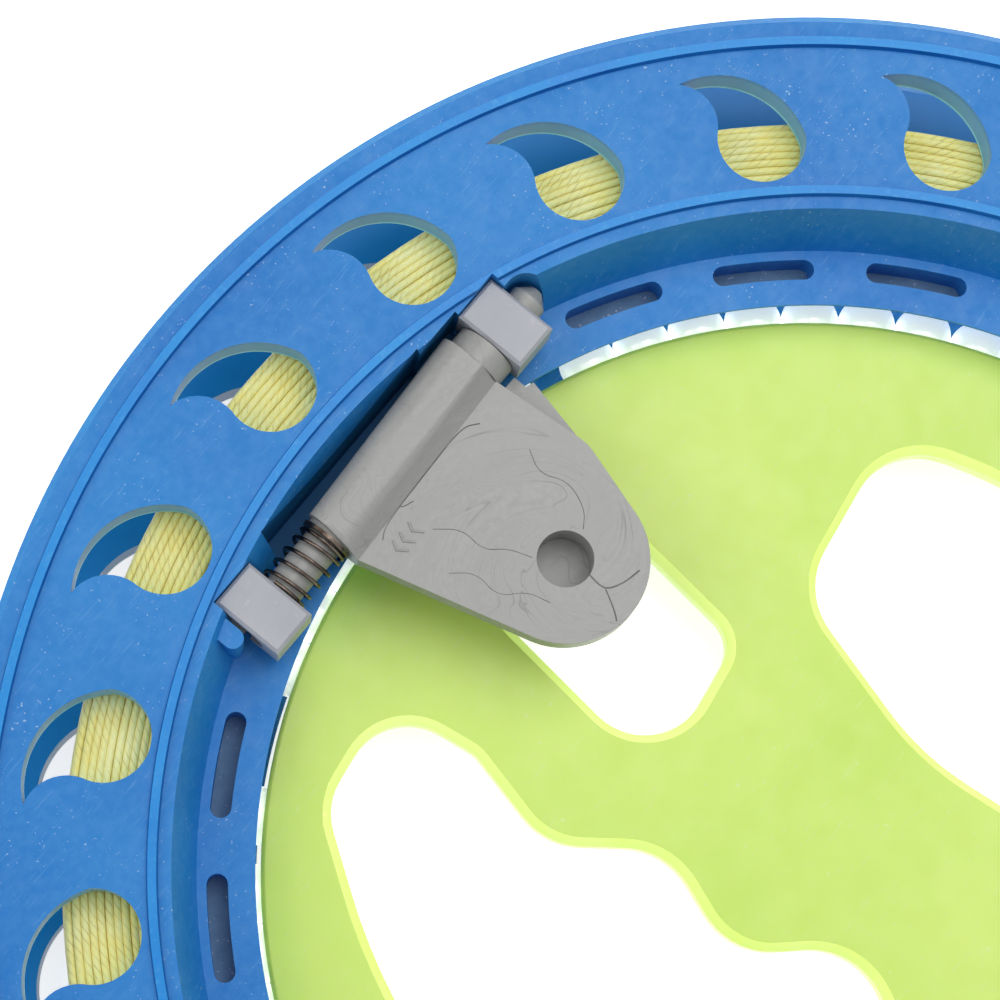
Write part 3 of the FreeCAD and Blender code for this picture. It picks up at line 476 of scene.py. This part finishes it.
def rotate_about_z(bm, verts, degrees):
    turn = Matrix.Rotation(math.radians(degrees), 3, "Z")
    bmesh.ops.rotate(bm, cent=(0, 0, 0), matrix=turn, verts=verts)


def copies_round(bm, verts, turns):
    """Repeat what is there at more turns, in degrees, round the spin axis."""
    source = list(verts)
    faces = {face for vertex in source for face in vertex.link_faces}
    edges = {edge for vertex in source for edge in vertex.link_edges}
    for turn in turns:
        made = bmesh.ops.duplicate(bm, geom=source + list(edges) + list(faces))["geom"]
        moved = [item for item in made if isinstance(item, bmesh.types.BMVert)]
        rotate_about_z(bm, moved, turn)


def combined(bm, other, operation):
    """The bmesh after a boolean with another one; both are used up."""
    objects = []
    for name, source in (("kept", bm), ("tool", other)):
        mesh = bpy.data.meshes.new(name)
        source.to_mesh(mesh)
        source.free()
        made = bpy.data.objects.new(name, mesh)
        bpy.context.scene.collection.objects.link(made)
        objects.append(made)
    kept, tool = objects
    change = kept.modifiers.new("change", "BOOLEAN")
    change.operation = operation
    change.solver = "EXACT"
    change.object = tool
    graph = bpy.context.evaluated_depsgraph_get()
    result = bmesh.new()
    mesh = bpy.data.meshes.new_from_object(kept.evaluated_get(graph))
    result.from_mesh(mesh)
    for made in objects:
        mesh_of = made.data
        bpy.data.objects.remove(made)
        bpy.data.meshes.remove(mesh_of)
    bpy.data.meshes.remove(mesh)
    bmesh.ops.remove_doubles(result, verts=result.verts, dist=0.0008)
    bmesh.ops.dissolve_degenerate(result, edges=result.edges, dist=0.0008)
    return result


def sharp_edges(bm, angle, wanted=lambda middle: True):
    found = []
    for edge in bm.edges:
        if len(edge.link_faces) == 2 and edge.calc_face_angle() > math.radians(angle):
            if wanted((edge.verts[0].co + edge.verts[1].co) / 2):
                found.append(edge)
    return found


def soften(bm, width, segments=2, angle=32, wanted=lambda middle: True):
    bmesh.ops.bevel(bm, geom=sharp_edges(bm, angle, wanted), offset=width, offset_type="OFFSET",
                    segments=segments, profile=0.5, affect="EDGES", clamp_overlap=True, material=-1)


def reach(place):
    return math.hypot(place.x, place.y)


def paint(bm, index, wanted):
    """Give the faces for which wanted(middle, normal) holds another of the piece's materials."""
    bm.normal_update()
    for face in bm.faces:
        if wanted(face.calc_center_median(), face.normal):
            face.material_index = index


def window_edge(low, high):
    def wanted(middle, normal):
        return low < middle.z < high and abs(normal.z) < 0.5 and 71.7 < reach(middle) < 86.0
    return wanted


def from_node(node):
    """A CAD node as one clean surface in millimetres: doubles merged, flat facets joined."""
    bm = bmesh.new()
    bm.from_mesh(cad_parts[node].data)
    bmesh.ops.scale(bm, vec=(1 / MM, 1 / MM, 1 / MM), verts=bm.verts)
    bmesh.ops.remove_doubles(bm, verts=bm.verts, dist=0.0005)
    bmesh.ops.dissolve_limit(bm, angle_limit=math.radians(0.6), verts=bm.verts, edges=bm.edges,
                             delimit=set())
    return bm


# ---------------------------------------------------------------- the two flanges

def bulged(start, end, bulge):
    """The middle of an arc that stands off its chord to the left by the bulge."""
    chord = Vector(end) - Vector(start)
    across = Vector((-chord.y, chord.x)).normalized()
    return (Vector(start) + Vector(end)) / 2 + across * bulge


def window_chains(bm):
    """Comma shaped window: a round head and a tail that sweeps outwards and round."""
    back = Vector((-4.75, 0.0))
    tip = Vector((8.14, 6.65))
    front = Vector((4.5424, 1.3888))
    for start, through, end, steps in (
        (back, bulged(back, tip, 3.4), tip, 20),
        (tip, bulged(front, tip, 1.3), front, 10),
        (front, Vector((0.0, -4.75)), back, 26),
    ):
        places = [(-place.x, place.y + WINDOW_RADIUS) for place in (start, through, end)]
        sweep_arc(bm, *places, steps)


def core_chains(turn):
    """A slot bent round the spin axis with rounded ends."""
    def chains(bm):
        outer, inner, middle = 65.2, 63.0, 64.1
        half = (11.1 / 2 - 1.1) / middle

        def at(radius, angle):
            return (radius * math.cos(angle), radius * math.sin(angle))

        centre = math.radians(turn)
        first, last = centre - half, centre + half
        cap = 1.1 / middle
        sweep_arc(bm, at(outer, first), at(outer, centre), at(outer, last), 12)
        sweep_arc(bm, at(outer, last), at(middle, last + cap), at(inner, last), 10)
        sweep_arc(bm, at(inner, last), at(inner, centre), at(inner, first), 12)
        sweep_arc(bm, at(inner, first), at(middle, first - cap), at(outer, first), 10)
    return chains


def flange_windows(low, high):
    bm = bmesh.new()
    first = prism(bm, low, high, window_chains)
    copies_round(bm, first, [15 * step for step in range(1, 24)])
    return bm


def bead(radius, foot, crest):
    return [(radius + 0.6, foot), (radius + 0.44, crest), (radius - 0.44, crest), (radius - 0.6, foot)]


def bead_crest(low, high):
    def wanted(middle, normal):
        on_bead = min(abs(reach(middle) - 86.9), abs(reach(middle) - 70.4)) < 0.5
        return low < middle.z < high and abs(normal.z) > 0.7 and on_bead
    return wanted


def bead_side(low, high):
    def wanted(middle, normal):
        on_bead = 0.4 < min(abs(reach(middle) - 86.9), abs(reach(middle) - 70.4)) < 0.75
        return low < middle.z < high and abs(normal.z) < 0.8 and on_bead
    return wanted


def front_flange(face, window_edge_finish, slot_floor, groove_side, bright, shaded, pocket):
    bm = turned([
        (DRUM, BALL_HEIGHT),
        (DRUM, FRONT_INSIDE),
        (89.2, FRONT_INSIDE), (RIM, 21.0), (RIM, 23.4), (89.2, FRONT_FACE),
        *bead(86.9, FRONT_FACE, 24.9),
        *bead(70.4, FRONT_FACE, 24.9),
        (68.5, FRONT_FACE), (66.2, RECESS_FLOOR),
        (60.2, RECESS_FLOOR), (60.2, 15.5), (62.2, 13.5), (62.2, 9.795),
        (64.045, 7.781), (64.045, BALL_HEIGHT),
    ], 288)
    lug = bmesh.new()
    prism(lug, RECESS_FLOOR - 0.5, 22.6, lug_chains)
    bm = combined(bm, lug, "UNION")
    tools = flange_windows(FRONT_INSIDE - 1, 26.0)
    bm = combined(bm, tools, "DIFFERENCE")
    for corners in (
        (-12.3, 12.75, 63.6, 67.47, 12.5, 26.0),
        (12.25, 18.4, 63.6, 66.97, 15.4, 26.0),
        (-20.9, -15.3, 58.02, 66.52, RECESS_FLOOR, 26.0),
        (18.3, 23.9, 58.02, 66.52, RECESS_FLOOR, 26.0),
        (-20.2, -16.0, 58.72, 65.82, 14.1, 17.0),
        (19.0, 23.2, 58.72, 65.82, 14.1, 17.0),
    ):
        cutter = bmesh.new()
        box(cutter, *corners)
        bm = combined(bm, cutter, "DIFFERENCE")
    notch = bmesh.new()
    prism(notch, 17.8, 26.0, notch_chains)
    bm = combined(bm, notch, "DIFFERENCE")
    soften(bm, 0.22, 2, wanted=lambda at: at.z > 13.0)
    cores = bmesh.new()
    for step in range(21):
        prism(cores, 11.9, 17.0, core_chains(90 + 30 + 15 * step))
    bm = combined(bm, cores, "DIFFERENCE")
    soften(bm, 0.45, 3, wanted=lambda at: abs(at.z - RECESS_FLOOR) < 0.02 and 62.6 < reach(at) < 65.6)
    paint(bm, 1, window_edge(FRONT_INSIDE, FRONT_FACE))
    paint(bm, 2, lambda at, normal: normal.z > 0.9 and 62.6 < reach(at) < 65.6 and at.z < 12.2)
    # Painted shade: the underside of the front flange, facing the line, gets the deeper blue
    paint(bm, 3, lambda at, normal: normal.z < -0.9 and abs(at.z - FRONT_INSIDE) < 0.05)
    # Painted highlight on the bead crests and the rounded edges of the recess and rim; painted shade on the
    # steep bead sides
    paint(bm, 4, bead_crest(24.7, 25.0))
    paint(bm, 5, bead_side(24.2, 24.9))
    paint(bm, 4, lambda at, normal: at.z > 23.9 and reach(at) < 68.7 and 0.3 < abs(normal.z) < 0.97)
    paint(bm, 4, lambda at, normal: at.z > 23.3 and reach(at) > 89.0 and 0.3 < normal.z < 0.97)
    # Painted shade on the walls and floor of the pocket beside the handle
    paint(bm, 6, lambda at, normal: -12.4 < at.x < 18.5 and 63.4 < at.y < 67.6 and at.z < 23.7 and (
        abs(at.y - 67.47) < 0.03 or abs(at.y - 66.97) < 0.03 or abs(normal.x) > 0.9 or at.z < 15.6))
    made = piece("front_ring_half", bm,
                 [face, window_edge_finish, slot_floor, groove_side, bright, shaded, pocket],
                 "ring", ["front_flange"])
    return crisp(made)


def lug_chains(bm):
    corners = ((-21.2, 62.77), (-21.2, 67.5), (-23.4, 67.5), (-23.4, 62.77))
    made = [bm.verts.new((x, y, 0)) for x, y in corners]
    for pair in zip(made, made[1:]):
        bm.edges.new(pair)
    sweep_arc(bm, corners[3], (-22.3, 61.67), corners[0], 12)


def notch_chains(bm):
    end, radius = 27.05, 2.5
    corners = ((end - radius, PIN_Y - radius), (21.1, PIN_Y - radius),
               (21.1, PIN_Y + radius), (end - radius, PIN_Y + radius))
    made = [bm.verts.new((x, y, 0)) for x, y in corners]
    for pair in zip(made, made[1:]):
        bm.edges.new(pair)
    sweep_arc(bm, corners[3], (end, PIN_Y), corners[0], 16)


def back_flange(face, window_edge_finish, groove_side, bright):
    bm = turned([
        (DRUM, BALL_HEIGHT), (64.045, BALL_HEIGHT), (64.045, 5.219), (62.2, 3.205),
        (62.2, 2.8), (60.2, 2.8), (60.2, 1.2), (67.6, 1.2), (68.1, BACK_FACE),
        *bead(70.4, BACK_FACE, 0.0)[::-1],
        *bead(86.9, BACK_FACE, 0.0)[::-1],
        (89.2, BACK_FACE), (RIM, 1.5), (RIM, 3.9), (89.2, BACK_INSIDE),
        (DRUM, BACK_INSIDE),
    ], 288)
    bm = combined(bm, flange_windows(-1.0, BACK_INSIDE + 1), "DIFFERENCE")
    soften(bm, 0.22, 2, wanted=lambda at: at.z < 5.0)
    paint(bm, 1, window_edge(BACK_FACE, BACK_INSIDE))
    # Painted shade on the inner face (the deeper blue) and painted highlight on the bead crests
    paint(bm, 2, lambda at, normal: normal.z > 0.9 and abs(at.z - BACK_INSIDE) < 0.05)
    paint(bm, 3, bead_crest(-0.1, 0.2))
    made = piece("back_ring_half", bm, [face, window_edge_finish, groove_side, bright], "ring",
                 ["back_flange"])
    return crisp(made)


# ---------------------------------------------------------------- the other pieces

def disc(material, edge_material):
    bm = from_node("hub_disc")
    soften(bm, 0.9, 4, 30, wanted=lambda at: reach(at) < 53.5)
    soften(bm, 0.12, 2, 40, wanted=lambda at: reach(at) > 58.5 and at.z > 10)
    # Painted light: the opening walls get the paler, glowing edge finish
    paint(bm, 1, lambda at, normal: reach(at) < 53.5 and abs(normal.z) < 0.9)
    return crisp(piece("grip_disc", bm, [material, edge_material], "hub",
                       ["hub_disc"]), 30)


def balls(material):
    """Three runs of touching balls and a single one, with the play of the race between them."""
    bm = bmesh.new()
    first = bmesh.ops.create_icosphere(bm, subdivisions=4, radius=BALL_RADIUS)["verts"]
    bmesh.ops.translate(bm, vec=(BALL_PITCH, 0, BALL_HEIGHT), verts=first)
    turns = [15.1 + 6 * step for step in range(9)] + [72.3 + 6 * step for step in range(7)]
    turns += [123.65] + [131.46 + 6 * step for step in range(40)]
    copies_round(bm, first, [turn - turns[0] for turn in turns[1:]])
    rotate_about_z(bm, bm.verts, turns[0])
    return piece("race_balls", bm, [material], "ball_set", ["bearing_balls"])


def tube(name, places, radius, sides):
    """A round bar along many places, as a mesh with its own map along and around."""
    curve = bpy.data.curves.new(name, "CURVE")
    curve.dimensions = "3D"
    curve.bevel_depth = radius * MM
    curve.bevel_resolution = sides
    curve.use_fill_caps = True
    spline = curve.splines.new("POLY")
    spline.points.add(len(places) - 1)
    for point, place in zip(spline.points, places):
        point.co = (*(Vector(place) * MM), 1)
    made = bpy.data.objects.new(name, curve)
    bpy.context.scene.collection.objects.link(made)
    graph = bpy.context.evaluated_depsgraph_get()
    mesh = bpy.data.meshes.new_from_object(made.evaluated_get(graph))
    bpy.data.objects.remove(made)
    bpy.data.curves.remove(curve)
    result = bpy.data.objects.new(name, mesh)
    bpy.context.scene.collection.objects.link(result)
    around = 4 + 2 * sides
    run = [0.0]
    for here, ahead in zip(places, places[1:]):
        run.append(run[-1] + (Vector(ahead) - Vector(here)).length)
    strand_map = mesh.uv_layers.new(name="along_and_round").data
    for polygon in mesh.polygons:
        polygon.use_smooth = True
        turns = [mesh.loops[loop].vertex_index % around for loop in polygon.loop_indices]
        wraps = max(turns) - min(turns) > 1
        for loop, turn in zip(polygon.loop_indices, turns):
            along = run[min(mesh.loops[loop].vertex_index // around, len(run) - 1)]
            share = (turn + around if wraps and turn == 0 else turn) / around
            strand_map[loop].uv = (along / LAY, share)
    return result


def wound_line(material):
    """The line: a layer of turns over both sides and the outside of the coil."""
    dice = random.Random(4)
    strand = 0.43
    pitch = 0.82
    laid = []
    radius = DRUM + strand + 0.05
    while radius < 79.0:
        laid.append((radius, LINE_TOP - strand - 0.08))
        radius += pitch
    height = LINE_TOP - strand - pitch * 0.8
    while height > BACK_INSIDE + 0.12 + strand + pitch * 0.5:
        across = (height - (BACK_INSIDE + FRONT_INSIDE) / 2) / 7.6
        laid.append((79.4 - 0.7 * across ** 4, height))
        height -= pitch
    radius = laid[0][0] + pitch * 9
    while radius > DRUM:
        laid.append((radius, BACK_INSIDE + 0.15 + strand))
        radius -= pitch
    places = []
    steps = 170
    for index, (here, ahead) in enumerate(zip(laid, laid[1:] + laid[-1:])):
        wander = [dice.uniform(-0.06, 0.06) for _ in range(3)]
        for step in range(steps):
            share = step / steps
            turn = TURN * share
            part = max(0.0, (share - 0.9) / 0.1)
            part = part * part * (3 - 2 * part)
            radius = here[0] + (ahead[0] - here[0]) * part
            height = here[1] + (ahead[1] - here[1]) * part
            radius += wander[0] * math.sin(turn * 2 + index) + wander[1] * math.sin(turn * 5 + 2 * index)
            height += wander[2] * math.sin(turn * 3 + index)
            places.append((radius * math.cos(turn), radius * math.sin(turn), height))
    made = tube("wound_line", places, strand, 2)
    made.data.materials.append(material)
    settle(made, "ring", ["line_winding"])
    return made


def line_core(material):
    """The turns below the outer layer, seen only as the dark between the strands."""
    low, high = BACK_INSIDE + 0.6, LINE_TOP - 0.55
    bm = turned([(DRUM, low), (78.4, low), (78.9, low + 1.0),
                 (78.9, high - 1.0), (78.4, high), (DRUM, high)], 144)
    return piece("line_core", bm, [material], "ring")


def return_spring(material):
    """Open compression spring round the lower trunnion, its end turns lying flat."""
    left, right = -15.35, -8.35
    wire = 0.215
    radius = 2.62
    closed = 2 * wire + 0.02
    turns, first, last = 5.4, 0.7, 0.9
    pitch = (right - left - 2 * wire - (first + last) * closed) / (turns - first - last)
    steps = 40
    places = []
    for step in range(int(turns * steps) + 1):
        turn = step / steps
        near = min(turn, first)
        middle = min(max(turn - first, 0.0), turns - first - last)
        far = max(turn - (turns - last), 0.0)
        along = left + wire + (near + far) * closed + middle * pitch
        angle = TURN * turn + 1.2
        places.append((along, PIN_Y + radius * math.cos(angle), PIN_Z + radius * math.sin(angle)))
    made = tube("return_spring", places, wire, 3)
    made.data.materials.append(material)
    settle(made, "ring", ["hinge_spring"])
    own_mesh(made)
    return made


def handle(material):
    bm = from_node("folding_handle")
    ridge = sharp_edges(bm, 30, lambda at: at.z > 23.5 and at.y < 61.5 and -7.6 < at.x < 15.9)
    bmesh.ops.bevel(bm, geom=ridge, offset=1.2, offset_type="OFFSET", segments=6, profile=0.5,
                    affect="EDGES", clamp_overlap=False, material=-1)
    soften(bm, 0.22, 2, 30)
    return crisp(piece("winding_handle", bm, [material], "handle",
                       ["folding_handle"]), 30)


def rounded_off(places, rounds=3):
    """Cut the corners of a chain of places again and again, keeping its two ends."""
    for _ in range(rounds):
        cut = [Vector(places[0])]
        for here, ahead in zip(places, places[1:]):
            cut += [Vector(here).lerp(Vector(ahead), share) for share in (0.25, 0.75)]
        places = cut + [Vector(places[-1])]
    return places


def handle_marks(material, raised_material):
    """What the mould left on the plate: a weld line at the bore, flow lines and three raised marks."""
    top = 21.6
    sunk = (
        (0.10, ((6.3, 38.9), (6.1, 37.6), (6.3, 36.5), (8.0, 35.6), (10.0, 35.2))),
        (0.09, ((6.2, 36.7), (5.6, 35.6), (4.9, 34.4), (4.3, 33.7))),
        (0.08, ((11.4, 57.7), (9.9, 58.9), (4.8, 58.72), (1.2, 58.6))),
        (0.06, ((1.2, 58.6), (-0.9, 58.5), (-3.4, 58.3), (-4.6, 57.6))),
        (0.07, ((-1.0, 59.0), (-0.6, 58.2), (0.6, 57.8))),
        (0.05, ((-0.4, 54.4), (1.6, 52.0), (1.2, 49.0), (3.0, 47.2), (3.9, 44.6))),
        (0.05, ((12.6, 52.0), (11.2, 49.6), (12.6, 46.8), (11.4, 43.6), (9.6, 42.4))),
        (0.045, ((-2.9, 50.2), (-1.0, 48.0), (-1.6, 44.8), (0.8, 42.8), (1.4, 40.2))),
    )
    for number, (radius, places) in enumerate(sunk, 1):
        places = rounded_off([(x, y, top - radius * 0.45) for x, y in places])
        made = tube("flow_line_%d" % number, places, radius, 2)
        made.data.materials.append(material)
        settle(made, "handle")
    for number, (x, y) in enumerate(CHEVRONS, 1):
        places = [(x + RISE[0], y + RISE[1], top), (x, y, top), (x + RUN[0], y + RUN[1], top)]
        made = tube("raised_mark_%d" % number, places, 0.16, 2)
        made.data.materials.append(raised_material)
        settle(made, "handle")


def back_screws(material):
    """Eight pan head screws that close the two halves from the back."""
    bm = turned([(0.0, 1.2), (0.0, 0.42), (0.9, 0.44), (1.45, 0.6), (1.75, 0.9), (1.8, 1.2)], 32)
    for turn in (0, 90):
        slot = bmesh.new()
        made = box(slot, -1.0, 1.0, -0.17, 0.17, 0.2, 0.85)
        rotate_about_z(slot, made, turn)
        bm = combined(bm, slot, "DIFFERENCE")
    bmesh.ops.translate(bm, vec=(64.4, 0, 0), verts=bm.verts)
    copies_round(bm, bm.verts, [45 * step for step in range(1, 8)])
    return crisp(piece("back_screws", bm, [material], "ring"), 30)


def pin_block(name, node, material):
    bm = from_node(node)
    soften(bm, 0.12, 2, 40)
    return crisp(piece(name, bm, [material], "ring", [node]), 30)


blue = blue_plastic()
between_flanges_blue = groove_side_plastic()
bright_edge = painted_highlight_edge_plastic()
# Window walls: greyer tints as painted reflection; the last colour of each is the painted highlight at the
# foot
front_edge = window_edge_plastic("front_window_edge_plastic", FRONT_INSIDE, FRONT_FACE, tint(92, 172, 222),
                                 tint(112, 184, 222), tint(66, 150, 212), tint(160, 244, 255))
back_edge = window_edge_plastic("back_window_edge_plastic", BACK_FACE, BACK_INSIDE, tint(30, 142, 218),
                                tint(56, 166, 232), tint(40, 150, 224), tint(120, 220, 255))
# Painted shade: a darker blue for the walls and floor of the pocket beside the handle
shade = Finish("pocket_painted_shade_blue_plastic", roughness=0.5, specular=0.2)
shaded_blue = shade.finish(shade.mix(shade.noise(200), tint(16, 84, 138), tint(28, 100, 154)))
front_flange(blue, front_edge, slot_floor_plastic(), between_flanges_blue, bright_edge,
             shaded_step_plastic(), shaded_blue)
back_flange(blue, back_edge, between_flanges_blue, bright_edge)
disc(green_plastic(), green_edge_plastic())
balls(ball_finish())
wound_line(laid_line())
core = Finish("line_core_shadow", roughness=0.7, specular=0.2)
line_core(core.finish(core.mix(core.noise(600), tint(186, 176, 100), tint(214, 206, 130))))
return_spring(steel("spring_wire_steel", tint(56, 48, 44), tint(116, 104, 96), 0.24))
grey_plate = handle_plastic()
handle(grey_plate)
handle_marks(weld_line_plastic(), grey_plate)
back_screws(steel("screw_steel", tint(150, 150, 150), tint(196, 196, 194), 0.3))
grey = block_plastic()
pin_block("lower_hinge_block", "lower_pin_block", grey)
pin_block("upper_hinge_block", "upper_pin_block", grey)
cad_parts["thrust_washer"].data.materials.clear()
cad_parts["thrust_washer"].data.materials.append(
    steel("washer_steel", tint(64, 54, 48), tint(120, 108, 98), 0.28))

# ---------------------------------------------------------------- floor, lights and camera

floor_mesh = bpy.data.meshes.new("floor")
bm = bmesh.new()
bmesh.ops.create_grid(bm, x_segments=1, y_segments=1, size=3.0)
bm.to_mesh(floor_mesh)
bm.free()
floor = bpy.data.objects.new("floor", floor_mesh)
bpy.context.scene.collection.objects.link(floor)
floor.location.z = -0.0002
paper = Finish("floor_paper", roughness=0.9, specular=0.1)
paper_colour = paper.mix(paper.noise(8), (0.93, 0.93, 0.93, 1), (0.96, 0.96, 0.96, 1))
paper.put(paper.shader, "Base Color", paper_colour)
rays = paper.node("LightPath").outputs
seen = paper.math("MAXIMUM", rays["Is Camera Ray"],
                  paper.math("MAXIMUM", rays["Is Glossy Ray"], rays["Is Transmission Ray"]))
paper.shader.inputs["Emission Color"].default_value = (1, 1, 1, 1)
paper.put(paper.shader, "Emission Strength", paper.math("MULTIPLY", seen, 0.75))
floor_mesh.materials.append(paper.material)

world = bpy.data.worlds.new("studio")
bpy.context.scene.world = world
world.use_nodes = True
sky = world.node_tree.nodes["Background"]
sky.inputs["Color"].default_value = (0.985, 0.99, 1.0, 1)
rays = world.node_tree.nodes.new("ShaderNodeLightPath").outputs
seen = None
for kind in ("Is Camera Ray", "Is Glossy Ray", "Is Transmission Ray"):
    if seen is None:
        seen = rays[kind]
        continue
    either = world.node_tree.nodes.new("ShaderNodeMath")
    either.operation = "MAXIMUM"
    world.node_tree.links.new(seen, either.inputs[0])
    world.node_tree.links.new(rays[kind], either.inputs[1])
    seen = either.outputs[0]
strength = world.node_tree.nodes.new("ShaderNodeMapRange")
strength.inputs["To Min"].default_value = 0.42
strength.inputs["To Max"].default_value = 1.0
world.node_tree.links.new(seen, strength.inputs["Value"])
world.node_tree.links.new(strength.outputs[0], sky.inputs["Strength"])


def lamp(name, place, target, size, power):
    data = bpy.data.lights.new(name, "AREA")
    data.shape = "DISK"
    data.size = size
    data.energy = power
    made = bpy.data.objects.new(name, data)
    made.location = place
    made.rotation_euler = (Vector(target) - Vector(place)).to_track_quat("-Z", "Y").to_euler()
    bpy.context.scene.collection.objects.link(made)


lamp("key_softbox", (0.22, 0.03, 0.6), (0, 0.03, 0), 0.5, 1.85)
lamp("fill_softbox", (-0.35, 0.45, 0.6), (0, 0.03, 0), 0.6, 1.3)

scene = bpy.context.scene
scene.view_settings.view_transform = "Standard"
camera_data = bpy.data.cameras.new("camera")
camera_data.lens = 108
camera_data.sensor_width = 36
camera_data.clip_start = 0.01
camera = bpy.data.objects.new("camera", camera_data)
scene.collection.objects.link(camera)
camera.location = (-0.05407, 0.03088, 0.32555)
camera.rotation_euler = Euler([math.radians(turn) for turn in (11.0747, -4.2416, -50.93)])
scene.camera = camera
